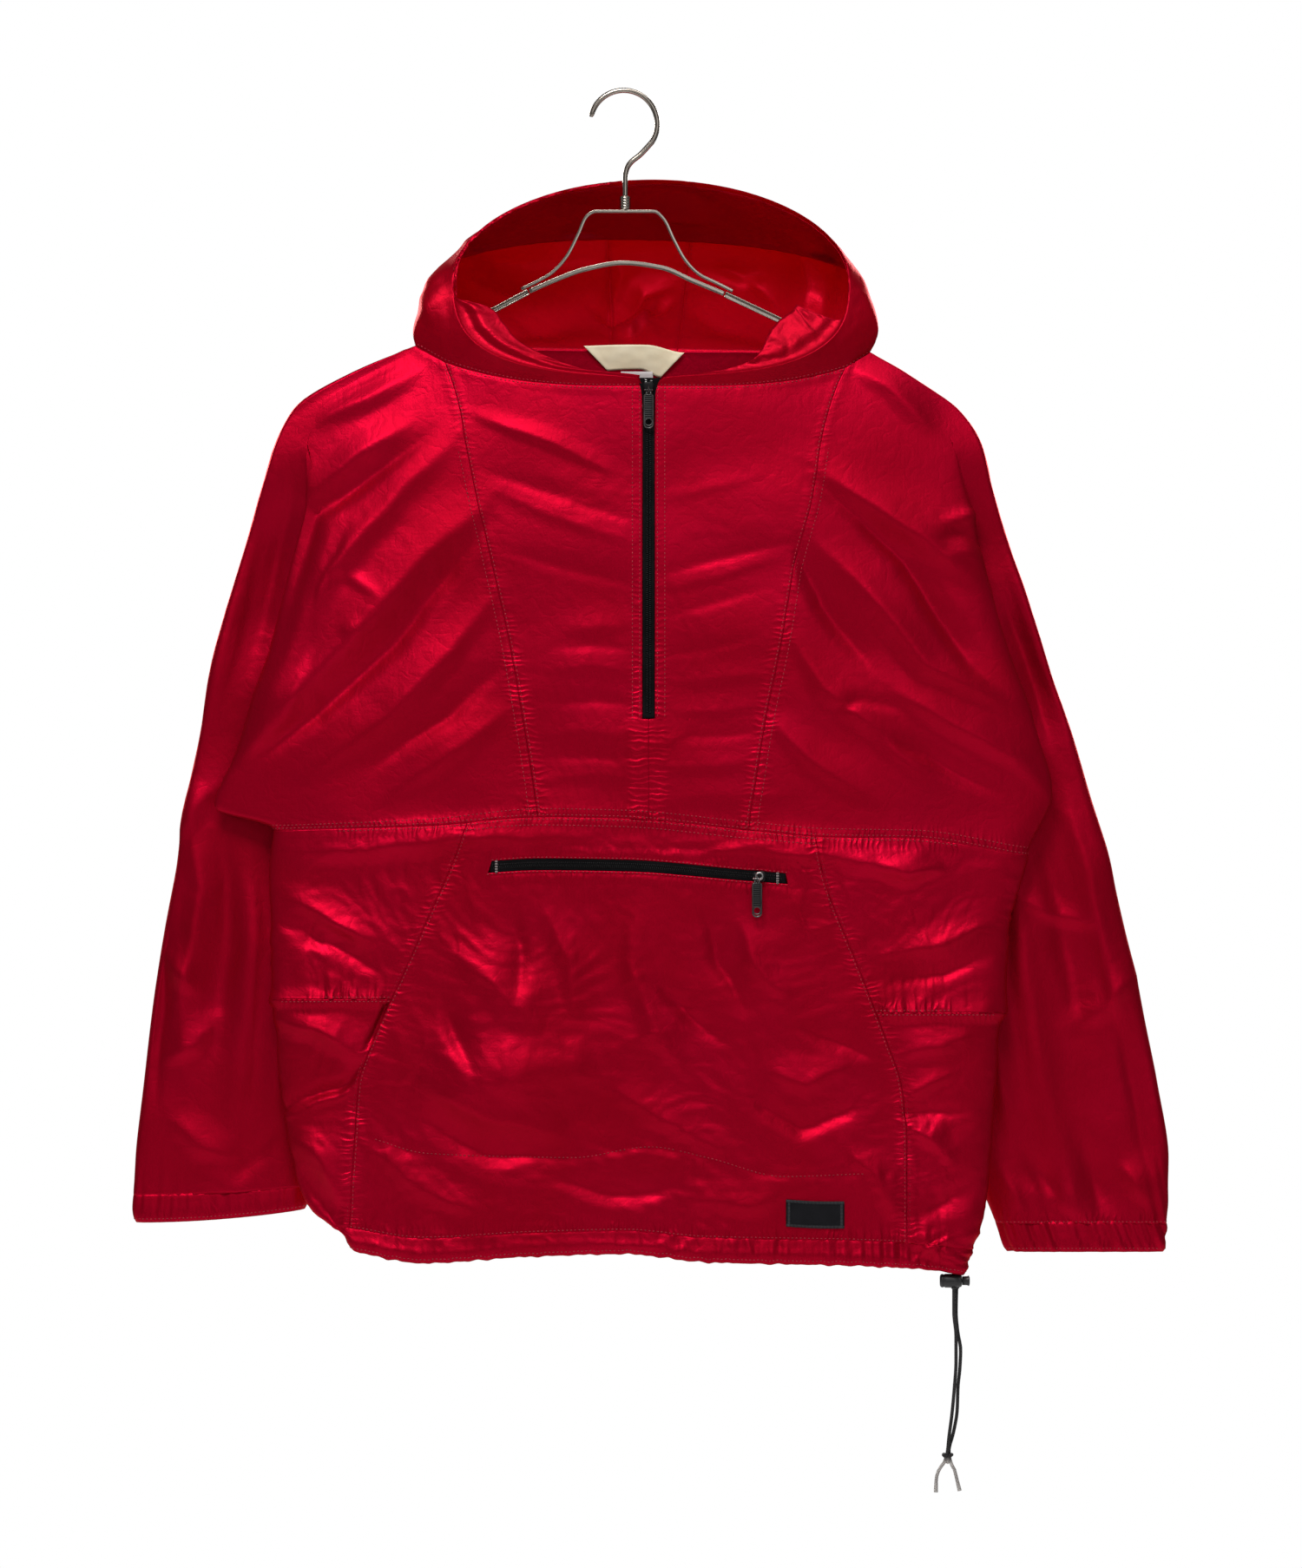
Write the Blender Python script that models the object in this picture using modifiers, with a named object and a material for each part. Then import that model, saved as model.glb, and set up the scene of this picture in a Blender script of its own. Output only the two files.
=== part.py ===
"""Hooded half-zip anorak on a metal hanger, modelled as the panels it is cut from.

Sizes are in millimetres and meshes are made in metres. +X is the wearer's left, -Y the front
and +Z up. The origin is the inner top of the hanger's hook, and a "drop" is a distance below it.
"""
import math

import bmesh
import bpy
import numpy as np
from mathutils import Matrix, Vector

MM = 0.001
CLOTH = 1.2
SEAM = 0.3
CENTRE = 18.0
RIDGE_TOP = 100.0
RIDGE_FALL = 0.53
RIDGE_HALF = 6.0
FRONT_BULGE = 34.0
BACK_BULGE = 24.0
BULGE_REACH = 80.0
HIDDEN_LAYER = -11.0
SLEEVE_LAYER = -1.0
SLEEVE_BACK = 18.0
UNDERARM_Y = -7.0
CHEST_DROP = 549.0
HEM_SEAM_DROP = 859.0
HEM_DROP = 877.0
ZIP_AT = 19.0
ZIP_SLOT_HALF = 4.6
FOLD_REACH = 24.0
BACK_REACH = 60.0
FRONT_ZIP_END = 471.0
POCKET_DROP = 583.5
POCKET_HALF = 4.3
POCKET_ENDS = (-99.5, 122.0)
SIDE_SEAM_DROP = {"right": 680.0, "left": 690.0}
CUFF_TILT = {"right": 10.0, "left": 0.0}

# A sleeve is cut in one with the upper side front and back. Each row runs from the back raglan
# seam round the outer edge, in to the inner fold, out to the wing fold and in to the front seam.
SLEEVE_COLUMNS = ("outer", "outer_drop", "front", "front_drop", "back", "back_drop",
                  "wing", "inner", "fold", "pinch", "tube")
SLEEVE_ROWS = {
    "right": (
        (-156, 190, -134, 203, -134, 191, -147, -150, 0.0, 0.0, 0),
        (-206, 212, -128, 219, -128, 213, -180, -190, 0.0, 0.0, 0),
        (-247, 238, -122, 241, -122, 238, -214, -226, 0.0, 0.0, 0),
        (-262, 264, -118, 264, -118, 264, -234, -240, 0.0, 0.0, 0),
        (-274, 303, -110, 303, -110, 303, -237, -228, 0.5, 0.0, 0),
        (-288, 355, -98, 355, -100, 355, -250, -224, 1.0, 0.0, 0),
        (-306, 420, -84, 420, -90, 420, -265, -222, 1.0, 0.0, 0),
        (-320, 485, -73, 485, -82, 485, -286, -222, 1.0, 0.0, 0),
        (-330, 531, -66, 531, -77, 531, -306, -223, 1.0, 0.3, 0),
        (-333, 549, -64, 549, -75, 549, -262, -224, 1.0, 1.0, 0),
        (-336, 575, -64, 575, -75, 575, -262, -228, 1.0, 1.0, 1),
        (-345, 625, -64, 625, -75, 625, -262, -230, 1.0, 1.0, 1),
        (-354, 685, -64, 685, -75, 685, -262, -231, 1.0, 1.0, 1),
        (-361, 745, -64, 745, -75, 745, -262, -232, 1.0, 1.0, 1),
        (-367, 800, -64, 800, -75, 800, -262, -234, 1.0, 1.0, 1),
        (-368, 829, -64, 829, -75, 829, -262, -237, 1.0, 1.0, 1),
        (-367, 849, -64, 849, -75, 849, -262, -239, 1.0, 1.0, 1),
    ),
    "left": (
        (185, 195, 167, 207, 167, 194, 177, 180, 0.0, 0.0, 0),
        (212, 212, 160, 222, 160, 213, 193, 200, 0.0, 0.0, 0),
        (252, 238, 153, 243, 153, 240, 226, 236, 0.0, 0.0, 0),
        (268, 264, 148, 264, 148, 264, 243, 250, 0.0, 0.0, 0),
        (279, 303, 142, 303, 142, 303, 257, 245, 0.5, 0.0, 0),
        (296, 355, 128, 355, 131, 355, 271, 247, 1.0, 0.0, 0),
        (318, 416, 117, 416, 122, 416, 291, 255, 1.0, 0.0, 0),
        (339, 468, 106, 468, 113, 468, 312, 262, 1.0, 0.0, 0),
        (351, 505, 100, 505, 108, 505, 321, 266, 1.0, 0.3, 0),
        (365, 549, 94, 549, 103, 549, 302, 268, 1.0, 1.0, 0),
        (371, 580, 94, 580, 103, 580, 302, 265, 1.0, 1.0, 1),
        (379, 625, 94, 625, 103, 625, 302, 259, 1.0, 1.0, 1),
        (391, 690, 94, 690, 103, 690, 302, 256, 1.0, 1.0, 1),
        (402, 745, 94, 745, 103, 745, 302, 257, 1.0, 1.0, 1),
        (410, 800, 94, 800, 103, 800, 302, 263, 1.0, 1.0, 1),
        (409, 850, 94, 850, 103, 850, 302, 281, 1.0, 1.0, 1),
        (406, 871, 94, 871, 103, 871, 302, 289, 1.0, 1.0, 1),
    ),
}
UNDERARM_ROW = 9
CUFF_ROW = 15
SLEEVE_END_ROW = 16

# The body below the chest seam: its two side folds and the pouch panel's side seams.
BODY_COLUMNS = ("drop", "right_edge", "left_edge", "right_seam", "left_seam")
BODY_ROWS = (
    (549, -262, 302, -116, 143),
    (582, -266, 295, -129, 150),
    (615, -264, 289, -144, 161),
    (647, -262, 287, -158, 173),
    (680, -260, 284, -173, 185),
    (712, -259, 280, -187, 197),
    (745, -257, 279, -198, 208),
    (790, -250, 275, -201, 212),
    (822, -244, 273, -203, 212),
    (845, -234, 267, -204, 212),
    (859, -219, 261, -205, 212),
    (868, -206, 258, -198, 212),
    (877, -203, 256, -196, 212),
)

# How far the chest seam and the hem hang below their nominal level, across the body.
CHEST_SAG_COLUMNS = ("across", "sag")
CHEST_SAG_ROWS = ((-250, 5), (-145, 1.5), (-60, -5), (0, -4), (95, 5), (157, 10), (216, 11), (300, 24))
HEM_SAG_COLUMNS = ("across", "sag")
HEM_SAG_ROWS = ((-205, -9), (-150, 0), (-70, -5), (0, -7), (60, -1), (175, 2), (235, 6), (256, 10))

# The hood: its rim is an upright oval, flatter at the front neck, which leans back.
RIM_CENTRE = (21.0, 141.0)
RIM_WIDTH = 148.0
RIM_LOW = (72.5, 3.0)
RIM_HIGH = (77.0, 2.0)
RIM_DIP = (4.5, 20.0)
RIM_FRONT_Y = -34.0
RIM_LEAN = 0.31
RIM_START = 269.15
HOOD_DEPTH = 85.0
HOOD_SPREAD = 14.0
HOOD_LIFT = 12.0
FACING_SPAN = (0.31, 0.76)
FACING_DEPTH = 0.30
NECK_SHARES = (0.0, 0.2, 0.29, 0.71, 0.8, 1.0)
NECK_SEAM = 0.95

# Hanger: a wire hook over a strip yoke, an arch bar below it and two arms under the shoulders.
HOOK_WIRE = 2.1
HOOK_RADIUS = 25.2
HOOK_CENTRE = (0.3, -23.1)
HOOK_NECK = ((12.6, -46.4), (5.6, -52.2), (2.3, -57.5), (1.4, -64.0), (1.4, -77.0))
FERRULE = (1.4, -77.4, -87.6, 4.2)
STRIP_DEPTH = 6.0
YOKE_WIDTH = 2.3
ARCH_WIDTH = 3.4
ARM_WIDTH = 4.4
YOKE_PATH = ((-76.7, -147.5), (-65.0, -141.8), (-54.0, -135.4), (-42.9, -123.4), (-33.8, -106.0),
             (-27.3, -92.6), (-21.0, -89.1), (1.0, -89.1), (23.0, -89.1), (29.9, -94.3),
             (37.7, -109.9), (46.8, -126.1), (57.9, -137.0), (68.9, -142.4), (82.2, -149.0))
ARCH_PATH = ((-70.6, -149.2), (-52.0, -141.0), (-29.3, -132.8), (0.0, -127.8), (28.6, -131.4),
             (52.4, -141.4), (75.6, -151.0))
ARM_PATHS = {
    "right": ((-71.4, -149.6), (-92.3, -160.6), (-122.0, -176.3), (-156.0, -194.6), (-181.0, -206.0),
              (-206.0, -216.6), (-230.0, -229.6), (-240.0, -236.6)),
    "left": ((76.4, -151.5), (115.0, -169.7), (150.8, -187.2), (185.0, -201.6), (212.0, -216.8),
             (235.0, -230.6), (247.0, -239.0)),
}

# Zips. A slider rides on the coil, and its pull tab turns about a bar between two posts.
TAPE = 1.0
COIL_WIDTH = 4.4
COIL_THICK = 1.2
SLIDER = {"width": 7.0, "length": 9.0, "thick": 2.6}
BAIL_HALF = 3.0
BAIL_RISE = 2.6
BAIL_WIRE = 0.6
TAB = {"width": 7.6, "knuckle": 4.0, "length": 29.0, "thick": 1.2, "eye": 2.3, "eye_up": 5.2}
FRONT_SLIDER = (19.0, 224.0)
POCKET_SLIDER = (101.5, 99.8)

# Labels: left edge, right edge, top drop and bottom drop, with the inset of the lower corners.
NECK_LABEL = (-30.0, 46.0, 194.5, 206.5, 18.0)
CARE_LABEL = (-2.0, 22.0, 208.0, 238.0, 0.0)
HEM_PATCH = (121.5, 165.0, 830.0, 850.0, 0.0)
LABEL_THICK = 1.0

# Cord lock and the drawcord's free ends, each a route of (x, y, z).
LOCK_AT = (245.2, -23.0, -891.0)
LOCK_RADIUS = 5.2
LOCK_LENGTH = 16.4
PLUNGER_RADIUS = 3.9
PLUNGER_LENGTH = 5.6
CORD_RADIUS = 1.3
END_RADIUS = 1.15
KNOT_AT = (242.8, -23.0, -1023.0)
KNOT_HALF = (4.6, 3.8, 4.0)
STRAND_ROUTES = {
    "cord_strand_a": ((247.4, -24.7, -896.5), (247.4, -24.7, -914.6), (249.0, -24.7, -932.0),
                      (249.0, -24.7, -951.6), (247.8, -24.7, -970.5), (245.9, -24.7, -991.0),
                      (243.6, -24.7, -1008.8), (242.6, -24.3, -1018.9)),
    "cord_strand_b": ((249.6, -21.3, -896.5), (249.2, -21.3, -914.6), (250.4, -21.3, -929.0),
                      (252.6, -21.3, -943.0), (252.0, -21.3, -956.8), (250.6, -21.3, -970.5),
                      (250.0, -21.3, -988.0), (247.0, -21.3, -1005.6), (243.8, -21.7, -1018.7)),
}
END_ROUTES = {
    "cord_end_a": ((240.0, -23.3, -1027.4), (236.4, -23.5, -1032.0), (234.2, -23.5, -1040.0),
                   (234.0, -23.5, -1049.2)),
    "cord_end_b": ((245.2, -22.7, -1027.4), (247.6, -22.5, -1031.6), (249.8, -22.5, -1040.0),
                   (251.8, -22.5, -1048.2)),
}

RED = (0.40, 0.003, 0.022, 1.0)
DARK_RED = (0.28, 0.002, 0.015, 1.0)
BLACK = (0.012, 0.012, 0.013, 1.0)
STEEL = (0.62, 0.58, 0.53, 1.0)
CREAM = (0.80, 0.72, 0.52, 1.0)
GREY = (0.55, 0.53, 0.52, 1.0)


def material(name, colour, roughness, metallic=0.0):
    """Make the Principled material of one sub-part."""
    made = bpy.data.materials.new(name + "_finish")
    made.use_nodes = True
    shader = made.node_tree.nodes["Principled BSDF"]
    shader.inputs["Base Color"].default_value = colour
    shader.inputs["Roughness"].default_value = roughness
    shader.inputs["Metallic"].default_value = metallic
    made.diffuse_color = colour
    return made


def finish(thing, colour, roughness, metallic=0.0):
    """Give a sub-part its material and put it in the part's collection."""
    thing.data.materials.append(material(thing.name, colour, roughness, metallic))
    for home in list(thing.users_collection):
        home.objects.unlink(thing)
    PARTS.objects.link(thing)
    return thing


def pchip(xs, ys, x):
    """Read a smooth curve through the points (xs, ys) that never overshoots them."""
    step = np.diff(xs)
    slope = np.diff(ys) / step
    tangent = np.zeros(len(xs))
    tangent[0] = slope[0]
    tangent[-1] = slope[-1]
    for i in range(1, len(xs) - 1):
        if slope[i - 1] * slope[i] > 0:
            before = 2 * step[i] + step[i - 1]
            after = step[i] + 2 * step[i - 1]
            tangent[i] = (before + after) / (before / slope[i - 1] + after / slope[i])
    x = min(max(x, xs[0]), xs[-1])
    i = min(int(np.searchsorted(xs, x, side="right")) - 1, len(xs) - 2)
    t = (x - xs[i]) / step[i]
    rise = ys[i + 1] - ys[i]
    start = tangent[i] * step[i]
    end = tangent[i + 1] * step[i]
    return ys[i] + t * (start + t * (3 * rise - 2 * start - end + t * (start + end - 2 * rise)))


def table(columns, rows):
    """Turn rows of numbers into a dictionary of named columns."""
    return dict(zip(columns, np.array(rows, float).T))


def mix(a, b, share):
    """Blend from a to b."""
    return a + (b - a) * share


def smooth(t):
    """Ease from 0 to 1."""
    t = min(max(t, 0.0), 1.0)
    return t * t * (3 - 2 * t)


SLEEVES = {side: table(SLEEVE_COLUMNS, rows) for side, rows in SLEEVE_ROWS.items()}
BODY = table(BODY_COLUMNS, BODY_ROWS)
CHEST_SAG = table(CHEST_SAG_COLUMNS, CHEST_SAG_ROWS)
HEM_SAG = table(HEM_SAG_COLUMNS, HEM_SAG_ROWS)
PARTS = bpy.data.collections.new("anorak_pullover_on_hanger")
CUTTERS = bpy.data.collections.new("cutters")


def place(x, y, drop, hem=True):
    """Return the point at a nominal drop, with the sag of the chest seam and the hem added."""
    near = min(smooth((drop - 300) / 249), 1 - smooth((drop - CHEST_DROP) / 141))
    sag = near * pchip(CHEST_SAG["across"], CHEST_SAG["sag"], x)
    if hem:
        sag += smooth((drop - 800) / 77) * pchip(HEM_SAG["across"], HEM_SAG["sag"], x)
    return (x, y, -(drop + sag))


def swell(x, drop, bulge, side_loss):
    """Return how far the cloth stands off the hanger's plane at a place on the body."""
    below = max(drop - RIDGE_TOP - RIDGE_FALL * abs(x - CENTRE), 0.0)
    grown = 1 - math.exp(-below / BULGE_REACH)
    aside = min(abs(x - CENTRE) / 290, 1.15)
    return RIDGE_HALF + grown * (bulge - side_loss * aside ** 3)


def front_y(x, drop):
    """Depth of the front cloth."""
    return -swell(x, drop, FRONT_BULGE, 16.0)


def back_y(x, drop):
    """Depth of the back cloth."""
    return swell(x, drop, BACK_BULGE, 8.0)


def run(controls, share):
    """Read a curve drawn softly inside its control polygon, from its first to its last point."""
    pieces = len(controls) - 2
    at = min(max(share, 0.0), 1.0) * pieces
    i = min(int(at), pieces - 1)
    t = at - i
    first, middle, last = (np.array(controls[i + n], float) for n in range(3))
    start = first if i == 0 else (first + middle) / 2
    end = last if i == pieces - 1 else (middle + last) / 2
    return tuple((1 - t) ** 2 * start + 2 * t * (1 - t) * middle + t * t * end)


def fold_part(inner, edge, end, drop_of, fold, share):
    """Read from the inner fold (0) out round the edge fold to where the front lies flat (1)."""
    spread = 0.03 * abs(end - edge) * (1 - fold)
    toward = math.copysign(1.0, end - edge)
    flat = edge + toward * min(FOLD_REACH, 0.4 * abs(end - edge))

    def at(x, depth, amount=0.0):
        return (x, mix(front_y(x, drop_of(x)), depth, amount), drop_of(x))

    return run([
        at(inner, UNDERARM_Y, fold),
        at(inner + toward * spread, HIDDEN_LAYER, fold),
        at((inner + edge) / 2, HIDDEN_LAYER, fold),
        at(edge - toward * spread, HIDDEN_LAYER, fold),
        at(edge + toward * spread, 0.0),
        at(flat, 0.0),
    ], share)


def front_part(inner, edge, end, drop_of, fold, share):
    """Read the front of a side: its fold part in the first half, its flat part in the second."""
    if share < 0.5:
        return fold_part(inner, edge, end, drop_of, fold, share * 2)
    flat = edge + math.copysign(min(FOLD_REACH, 0.4 * abs(end - edge)), end - edge)
    x = mix(flat, end, share * 2 - 1)
    return (x, front_y(x, drop_of(x)), drop_of(x))


def back_part(inner, end, drop_of, pinch, share):
    """Read the back of a side: flat from its seam for the first half, then in to the underarm."""
    toward = math.copysign(1.0, end - inner)
    reach = min(BACK_REACH, 0.5 * abs(end - inner))
    flat = inner + toward * reach

    def at(x, depth, amount):
        return (x, mix(back_y(x, drop_of(x)), depth, amount), drop_of(x))

    if share < 0.5:
        return at(mix(end, flat, share * 2), 0.0, 0.0)
    return run([at(flat, 0.0, 0.0), at(inner + toward * reach * 0.6, 0.0, 0.0),
                at(inner + toward * reach * 0.25, 2.0, pinch), at(inner, UNDERARM_Y, pinch)],
               share * 2 - 1)


def sleeve_row(side, row):
    """Return the named sizes of a sleeve at a row, which may lie between two of the table's."""
    sizes = SLEEVES[side]
    rows = np.arange(len(sizes["outer"]), dtype=float)
    found = {name: float(pchip(rows, column, row)) for name, column in sizes.items()}
    found["fold"] = smooth((row - 3) / 2)
    found["tube"] = min(max(row - UNDERARM_ROW, 0.0), 1.0)
    return found


def sleeve_point(side, row, stretch, share):
    """Return a point of a sleeve: stretch is "back", "round" or "front", share runs along it."""
    k = sleeve_row(side, row)
    outer, inner, wing = k["outer"], k["inner"], k["wing"]
    width = outer - inner
    outward = math.copysign(1.0, width)

    def front_drop(x):
        return mix(k["outer_drop"], k["front_drop"], (x - outer) / (k["front"] - outer))

    def back_drop(x):
        return mix(k["outer_drop"], k["back_drop"], (x - outer) / (k["back"] - outer))

    def back_layer(x):
        return mix(back_y(x, back_drop(x)), SLEEVE_BACK, k["tube"])

    def sleeve_layer(x):
        return mix(front_y(x, front_drop(x)), SLEEVE_LAYER, k["fold"])

    if stretch == "back":
        x, y, drop = back_part(inner, k["back"], back_drop, k["pinch"], share)
    elif stretch == "front":
        x, y, drop = front_part(inner, wing, k["front"], front_drop, k["fold"], share)
    else:
        back_edge = back_y(inner, back_drop(inner))
        front_edge = mix(front_y(inner, front_drop(inner)), UNDERARM_Y, k["fold"])
        start = mix(mix(back_edge, UNDERARM_Y, k["pinch"]), 8.0, k["tube"])
        second = mix(mix(back_edge, 6.0, k["pinch"]), 15.0, k["tube"])
        controls = [(inner, start, back_drop(inner))]
        for along, y in ((0.06, second), (0.25, None), (0.75, None), (0.95, None)):
            x = inner + along * width
            controls.append((x, back_layer(x) if y is None else y, back_drop(x)))
        controls.append((outer, back_layer(outer) - 3, k["outer_drop"]))
        controls.append((outer, sleeve_layer(outer) + 3, k["outer_drop"]))
        for along in (0.95, 0.75, 0.25):
            x = inner + along * width
            controls.append((x, sleeve_layer(x), front_drop(x)))
        spread = 0.03 * abs(k["front"] - wing) * (1 - k["fold"])
        x = inner + outward * (spread + 0.03 * abs(width) * k["fold"])
        controls.append((x, sleeve_layer(x), front_drop(x)))
        controls.append((inner, mix(front_edge, 8.0, k["tube"]), front_drop(inner)))
        x, y, drop = run(controls, share)
    across = min(max((x - outer) / (inner - outer), 0.0), 1.0)
    drop -= CUFF_TILT[side] * across ** 2 * smooth((row - 13) / 3)
    return place(x, y, drop, hem=False)


def body_sizes(side, drop):
    """Return the side fold, the side seam line behind it and the pouch seam at a drop."""
    edge = pchip(BODY["drop"], BODY[side + "_edge"], drop)
    seam = pchip(BODY["drop"], BODY[side + "_seam"], drop)
    inward = 1.0 if side == "right" else -1.0
    behind = mix(abs(SLEEVES[side]["inner"][UNDERARM_ROW] - SLEEVES[side]["wing"][UNDERARM_ROW]), 34.0,
                 smooth((drop - CHEST_DROP) / 300))
    return edge, edge + inward * behind, seam


def side_point(side, drop, share):
    """Return a point of a side panel, from the side seam (0) round its fold to the pouch (1)."""
    edge, behind, seam = body_sizes(side, drop)
    x, y, at = front_part(behind, edge, seam, lambda x: drop, 1.0, share)
    return place(x, y, at)


def pouch_point(drop, share):
    """Return a point of the pouch panel, from its right seam to its left seam."""
    x = mix(body_sizes("right", drop)[2], body_sizes("left", drop)[2], share)
    return place(x, front_y(x, drop), drop)


def back_point(drop, share):
    """Return a point of the lower back: its right, middle and left parts are share 0-1, 1-2, 2-3."""
    right = body_sizes("right", drop)[1]
    left = body_sizes("left", drop)[1]
    if share < 1:
        x, y, at = back_part(right, left, lambda x: drop, 1.0, 1 - share / 2)
    elif share > 2:
        x, y, at = back_part(left, right, lambda x: drop, 1.0, 0.5 + (share - 2) / 2)
    else:
        x = mix(right + BACK_REACH, left - BACK_REACH, share - 1)
        y = back_y(x, drop)
    return place(x, y, drop)


def neck_drop(x):
    """Drop of the front neck seam at a place across the body, level with its middle."""
    return -25.0 * min(abs(x - 20) / 170, 1.0) ** 3.2


def upper_point(row, share, face):
    """Return a point between the raglan seams, on the "front" or the "back" face."""
    right = sleeve_row("right", row)
    left = sleeve_row("left", row)
    top_right = sleeve_row("right", 0)
    top_left = sleeve_row("left", 0)
    key = face + "_drop"
    x = mix(right[face], left[face], share)
    drop = mix(right[key], left[key], share)
    down = (drop - mix(top_right[key], top_left[key], share)) / (CHEST_DROP - top_right[key])
    if face == "front":
        top_x = mix(top_right[face], top_left[face], share)
        lift = neck_drop(top_x) - mix(neck_drop(top_right[face]), neck_drop(top_left[face]), share)
        drop += lift * (1 - min(down, 1.0))
        return place(x, front_y(x, drop), drop)
    return place(x, back_y(x, drop), drop)


def front_share(row, x):
    """Return the share across the front at which a row reaches x."""
    right = sleeve_row("right", row)["front"]
    left = sleeve_row("left", row)["front"]
    return (x - right) / (left - right)


def neck_point(s):
    """Return a point of the neck seam, from the zip round the right side and back to the zip."""
    front_end, right_end, back_end, left_end = NECK_SHARES[1:5]
    slot_right = front_share(0, ZIP_AT - ZIP_SLOT_HALF)
    slot_left = front_share(0, ZIP_AT + ZIP_SLOT_HALF)
    if s < front_end:
        return upper_point(0, slot_right * (1 - s / front_end), "front")
    if s < right_end:
        return sleeve_top("right", 1 - (s - front_end) / (right_end - front_end))
    if s < back_end:
        return upper_point(0, (s - right_end) / (back_end - right_end), "back")
    if s < left_end:
        return sleeve_top("left", (s - back_end) / (left_end - back_end))
    return upper_point(0, mix(1.0, slot_left, (s - left_end) / (1 - left_end)), "front")


def sleeve_top(side, t):
    """Return a point of a sleeve's neck edge, from its back seam (0) to its front seam (1)."""
    if t < 0.2:
        return sleeve_point(side, 0, "back", t / 0.2)
    if t < 0.7:
        return sleeve_point(side, 0, "round", (t - 0.2) / 0.5)
    return sleeve_point(side, 0, "front", (t - 0.7) / 0.3)


def hood_point(s, v):
    """Return a point of the hood: s runs round the rim, v from the rim (0) to the neck seam (1)."""
    angle = math.radians(RIM_START - 2 * (RIM_START - 90) * s)
    across, up = math.cos(angle), math.sin(angle)
    height, power = RIM_LOW if up < 0 else RIM_HIGH
    rim_x = RIM_CENTRE[0] + RIM_WIDTH * math.copysign(abs(across) ** (2 / power), across)
    rim_z = -RIM_CENTRE[1] + height * math.copysign(abs(up) ** (2 / power), up)
    if up < 0:
        rim_z -= RIM_DIP[0] * math.exp(-abs(rim_x - ZIP_AT) / RIM_DIP[1])
    rim_y = RIM_FRONT_Y + RIM_LEAN * (rim_z + RIM_CENTRE[1] + RIM_HIGH[0])
    high = smooth((up + 0.05) / 1.05)
    wide = smooth((up + 0.7) / 0.7)
    arch = 4 * v * (1 - v)
    neck = neck_point(s)
    return (mix(rim_x, neck[0], v) + arch * HOOD_SPREAD * across * wide,
            mix(rim_y, neck[1], v) + arch * HOOD_DEPTH * high,
            mix(rim_z, neck[2], v) + arch * HOOD_LIFT * high)


def trim(grid, top=SEAM / 2, bottom=SEAM / 2, first=SEAM / 2, last=SEAM / 2):
    """Draw a grid's borders in by the given amounts, so that sewn neighbours stay clear."""
    points = np.array(grid, float)
    rows, columns = points.shape[:2]
    for amount, edge, inner in ((top, 0, 1), (bottom, rows - 1, rows - 2)):
        way = points[inner] - points[edge]
        points[edge] += way / np.linalg.norm(way, axis=1, keepdims=True) * amount
    for amount, edge, inner in ((first, 0, 1), (last, columns - 1, columns - 2)):
        way = points[:, inner] - points[:, edge]
        points[:, edge] += way / np.linalg.norm(way, axis=1, keepdims=True) * amount
    return points


def raise_off(grid, distance):
    """Move a grid's points off its surface, to the side its rows and columns turn towards."""
    points = np.array(grid, float)
    down = np.gradient(points, axis=0)
    across = np.gradient(points, axis=1)
    normal = np.cross(down, across)
    normal /= np.linalg.norm(normal, axis=2, keepdims=True)
    return points + normal * distance


def depth_on(grid, x, z):
    """Return the depth of a panel's own faces at a place, read from its grid's triangles."""
    for i in range(len(grid) - 1):
        for j in range(len(grid[0]) - 1):
            a, b, c, d = grid[i][j], grid[i + 1][j], grid[i + 1][j + 1], grid[i][j + 1]
            for p, q, r in ((a, b, c), (a, c, d)):
                area = (q[0] - p[0]) * (r[2] - p[2]) - (r[0] - p[0]) * (q[2] - p[2])
                if abs(area) < 1e-9:
                    continue
                second = ((x - p[0]) * (r[2] - p[2]) - (r[0] - p[0]) * (z - p[2])) / area
                third = ((q[0] - p[0]) * (z - p[2]) - (x - p[0]) * (q[2] - p[2])) / area
                if min(second, third, 1 - second - third) >= -1e-6:
                    return p[1] + second * (q[1] - p[1]) + third * (r[1] - p[1])
    raise ValueError("the place is off the panel")


def cloth(name, grids, colour=RED, thick=CLOTH, slot=None, closed=False, roughness=0.35):
    """Make one cloth piece: an open surface through its grids, given a wall by Solidify."""
    mesh = bpy.data.meshes.new(name)
    thing = bpy.data.objects.new(name, mesh)
    bpy.context.collection.objects.link(thing)
    body = bmesh.new()
    for grid in grids:
        columns = len(grid[0])
        points = [[body.verts.new(Vector(point) * MM) for point in row] for row in grid]
        for i in range(len(grid) - 1):
            for j in range(columns if closed else columns - 1):
                if slot and (i, j) in slot:
                    continue
                n = (j + 1) % columns
                body.faces.new((points[i][j], points[i + 1][j], points[i + 1][n], points[i][n]))
    bmesh.ops.remove_doubles(body, verts=body.verts, dist=1e-6)
    loose = [vert for vert in body.verts if not vert.link_faces]
    bmesh.ops.delete(body, geom=loose, context="VERTS")
    bmesh.ops.recalc_face_normals(body, faces=body.faces)
    body.to_mesh(mesh)
    body.free()
    wall = thing.modifiers.new("wall", "SOLIDIFY")
    wall.thickness = thick * MM
    wall.offset = 0.0
    mesh.shade_smooth()
    return finish(thing, colour, roughness)


def panel_grid(point, drops, shares):
    """Sample a panel's function at its drops and shares."""
    return [[point(drop, share) for share in shares] for drop in drops]


def spaced(first, last, count):
    """Return evenly spaced values, ends included."""
    return [float(value) for value in np.linspace(first, last, count)]


# Rows down the sleeves and the upper body, and drops down the body below the chest seam.
UPPER_ROWS = (0.0, 1.0, 1.5, 2.0, 3.0, 4.0, 5.0, 6.0, 7.0, 8.0, 9.0)
BODY_DROPS = (549.0, 579.2, 587.8, 635.0, 680.0, 690.0, 745.0, 800.0, 838.0, 859.0)
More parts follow.
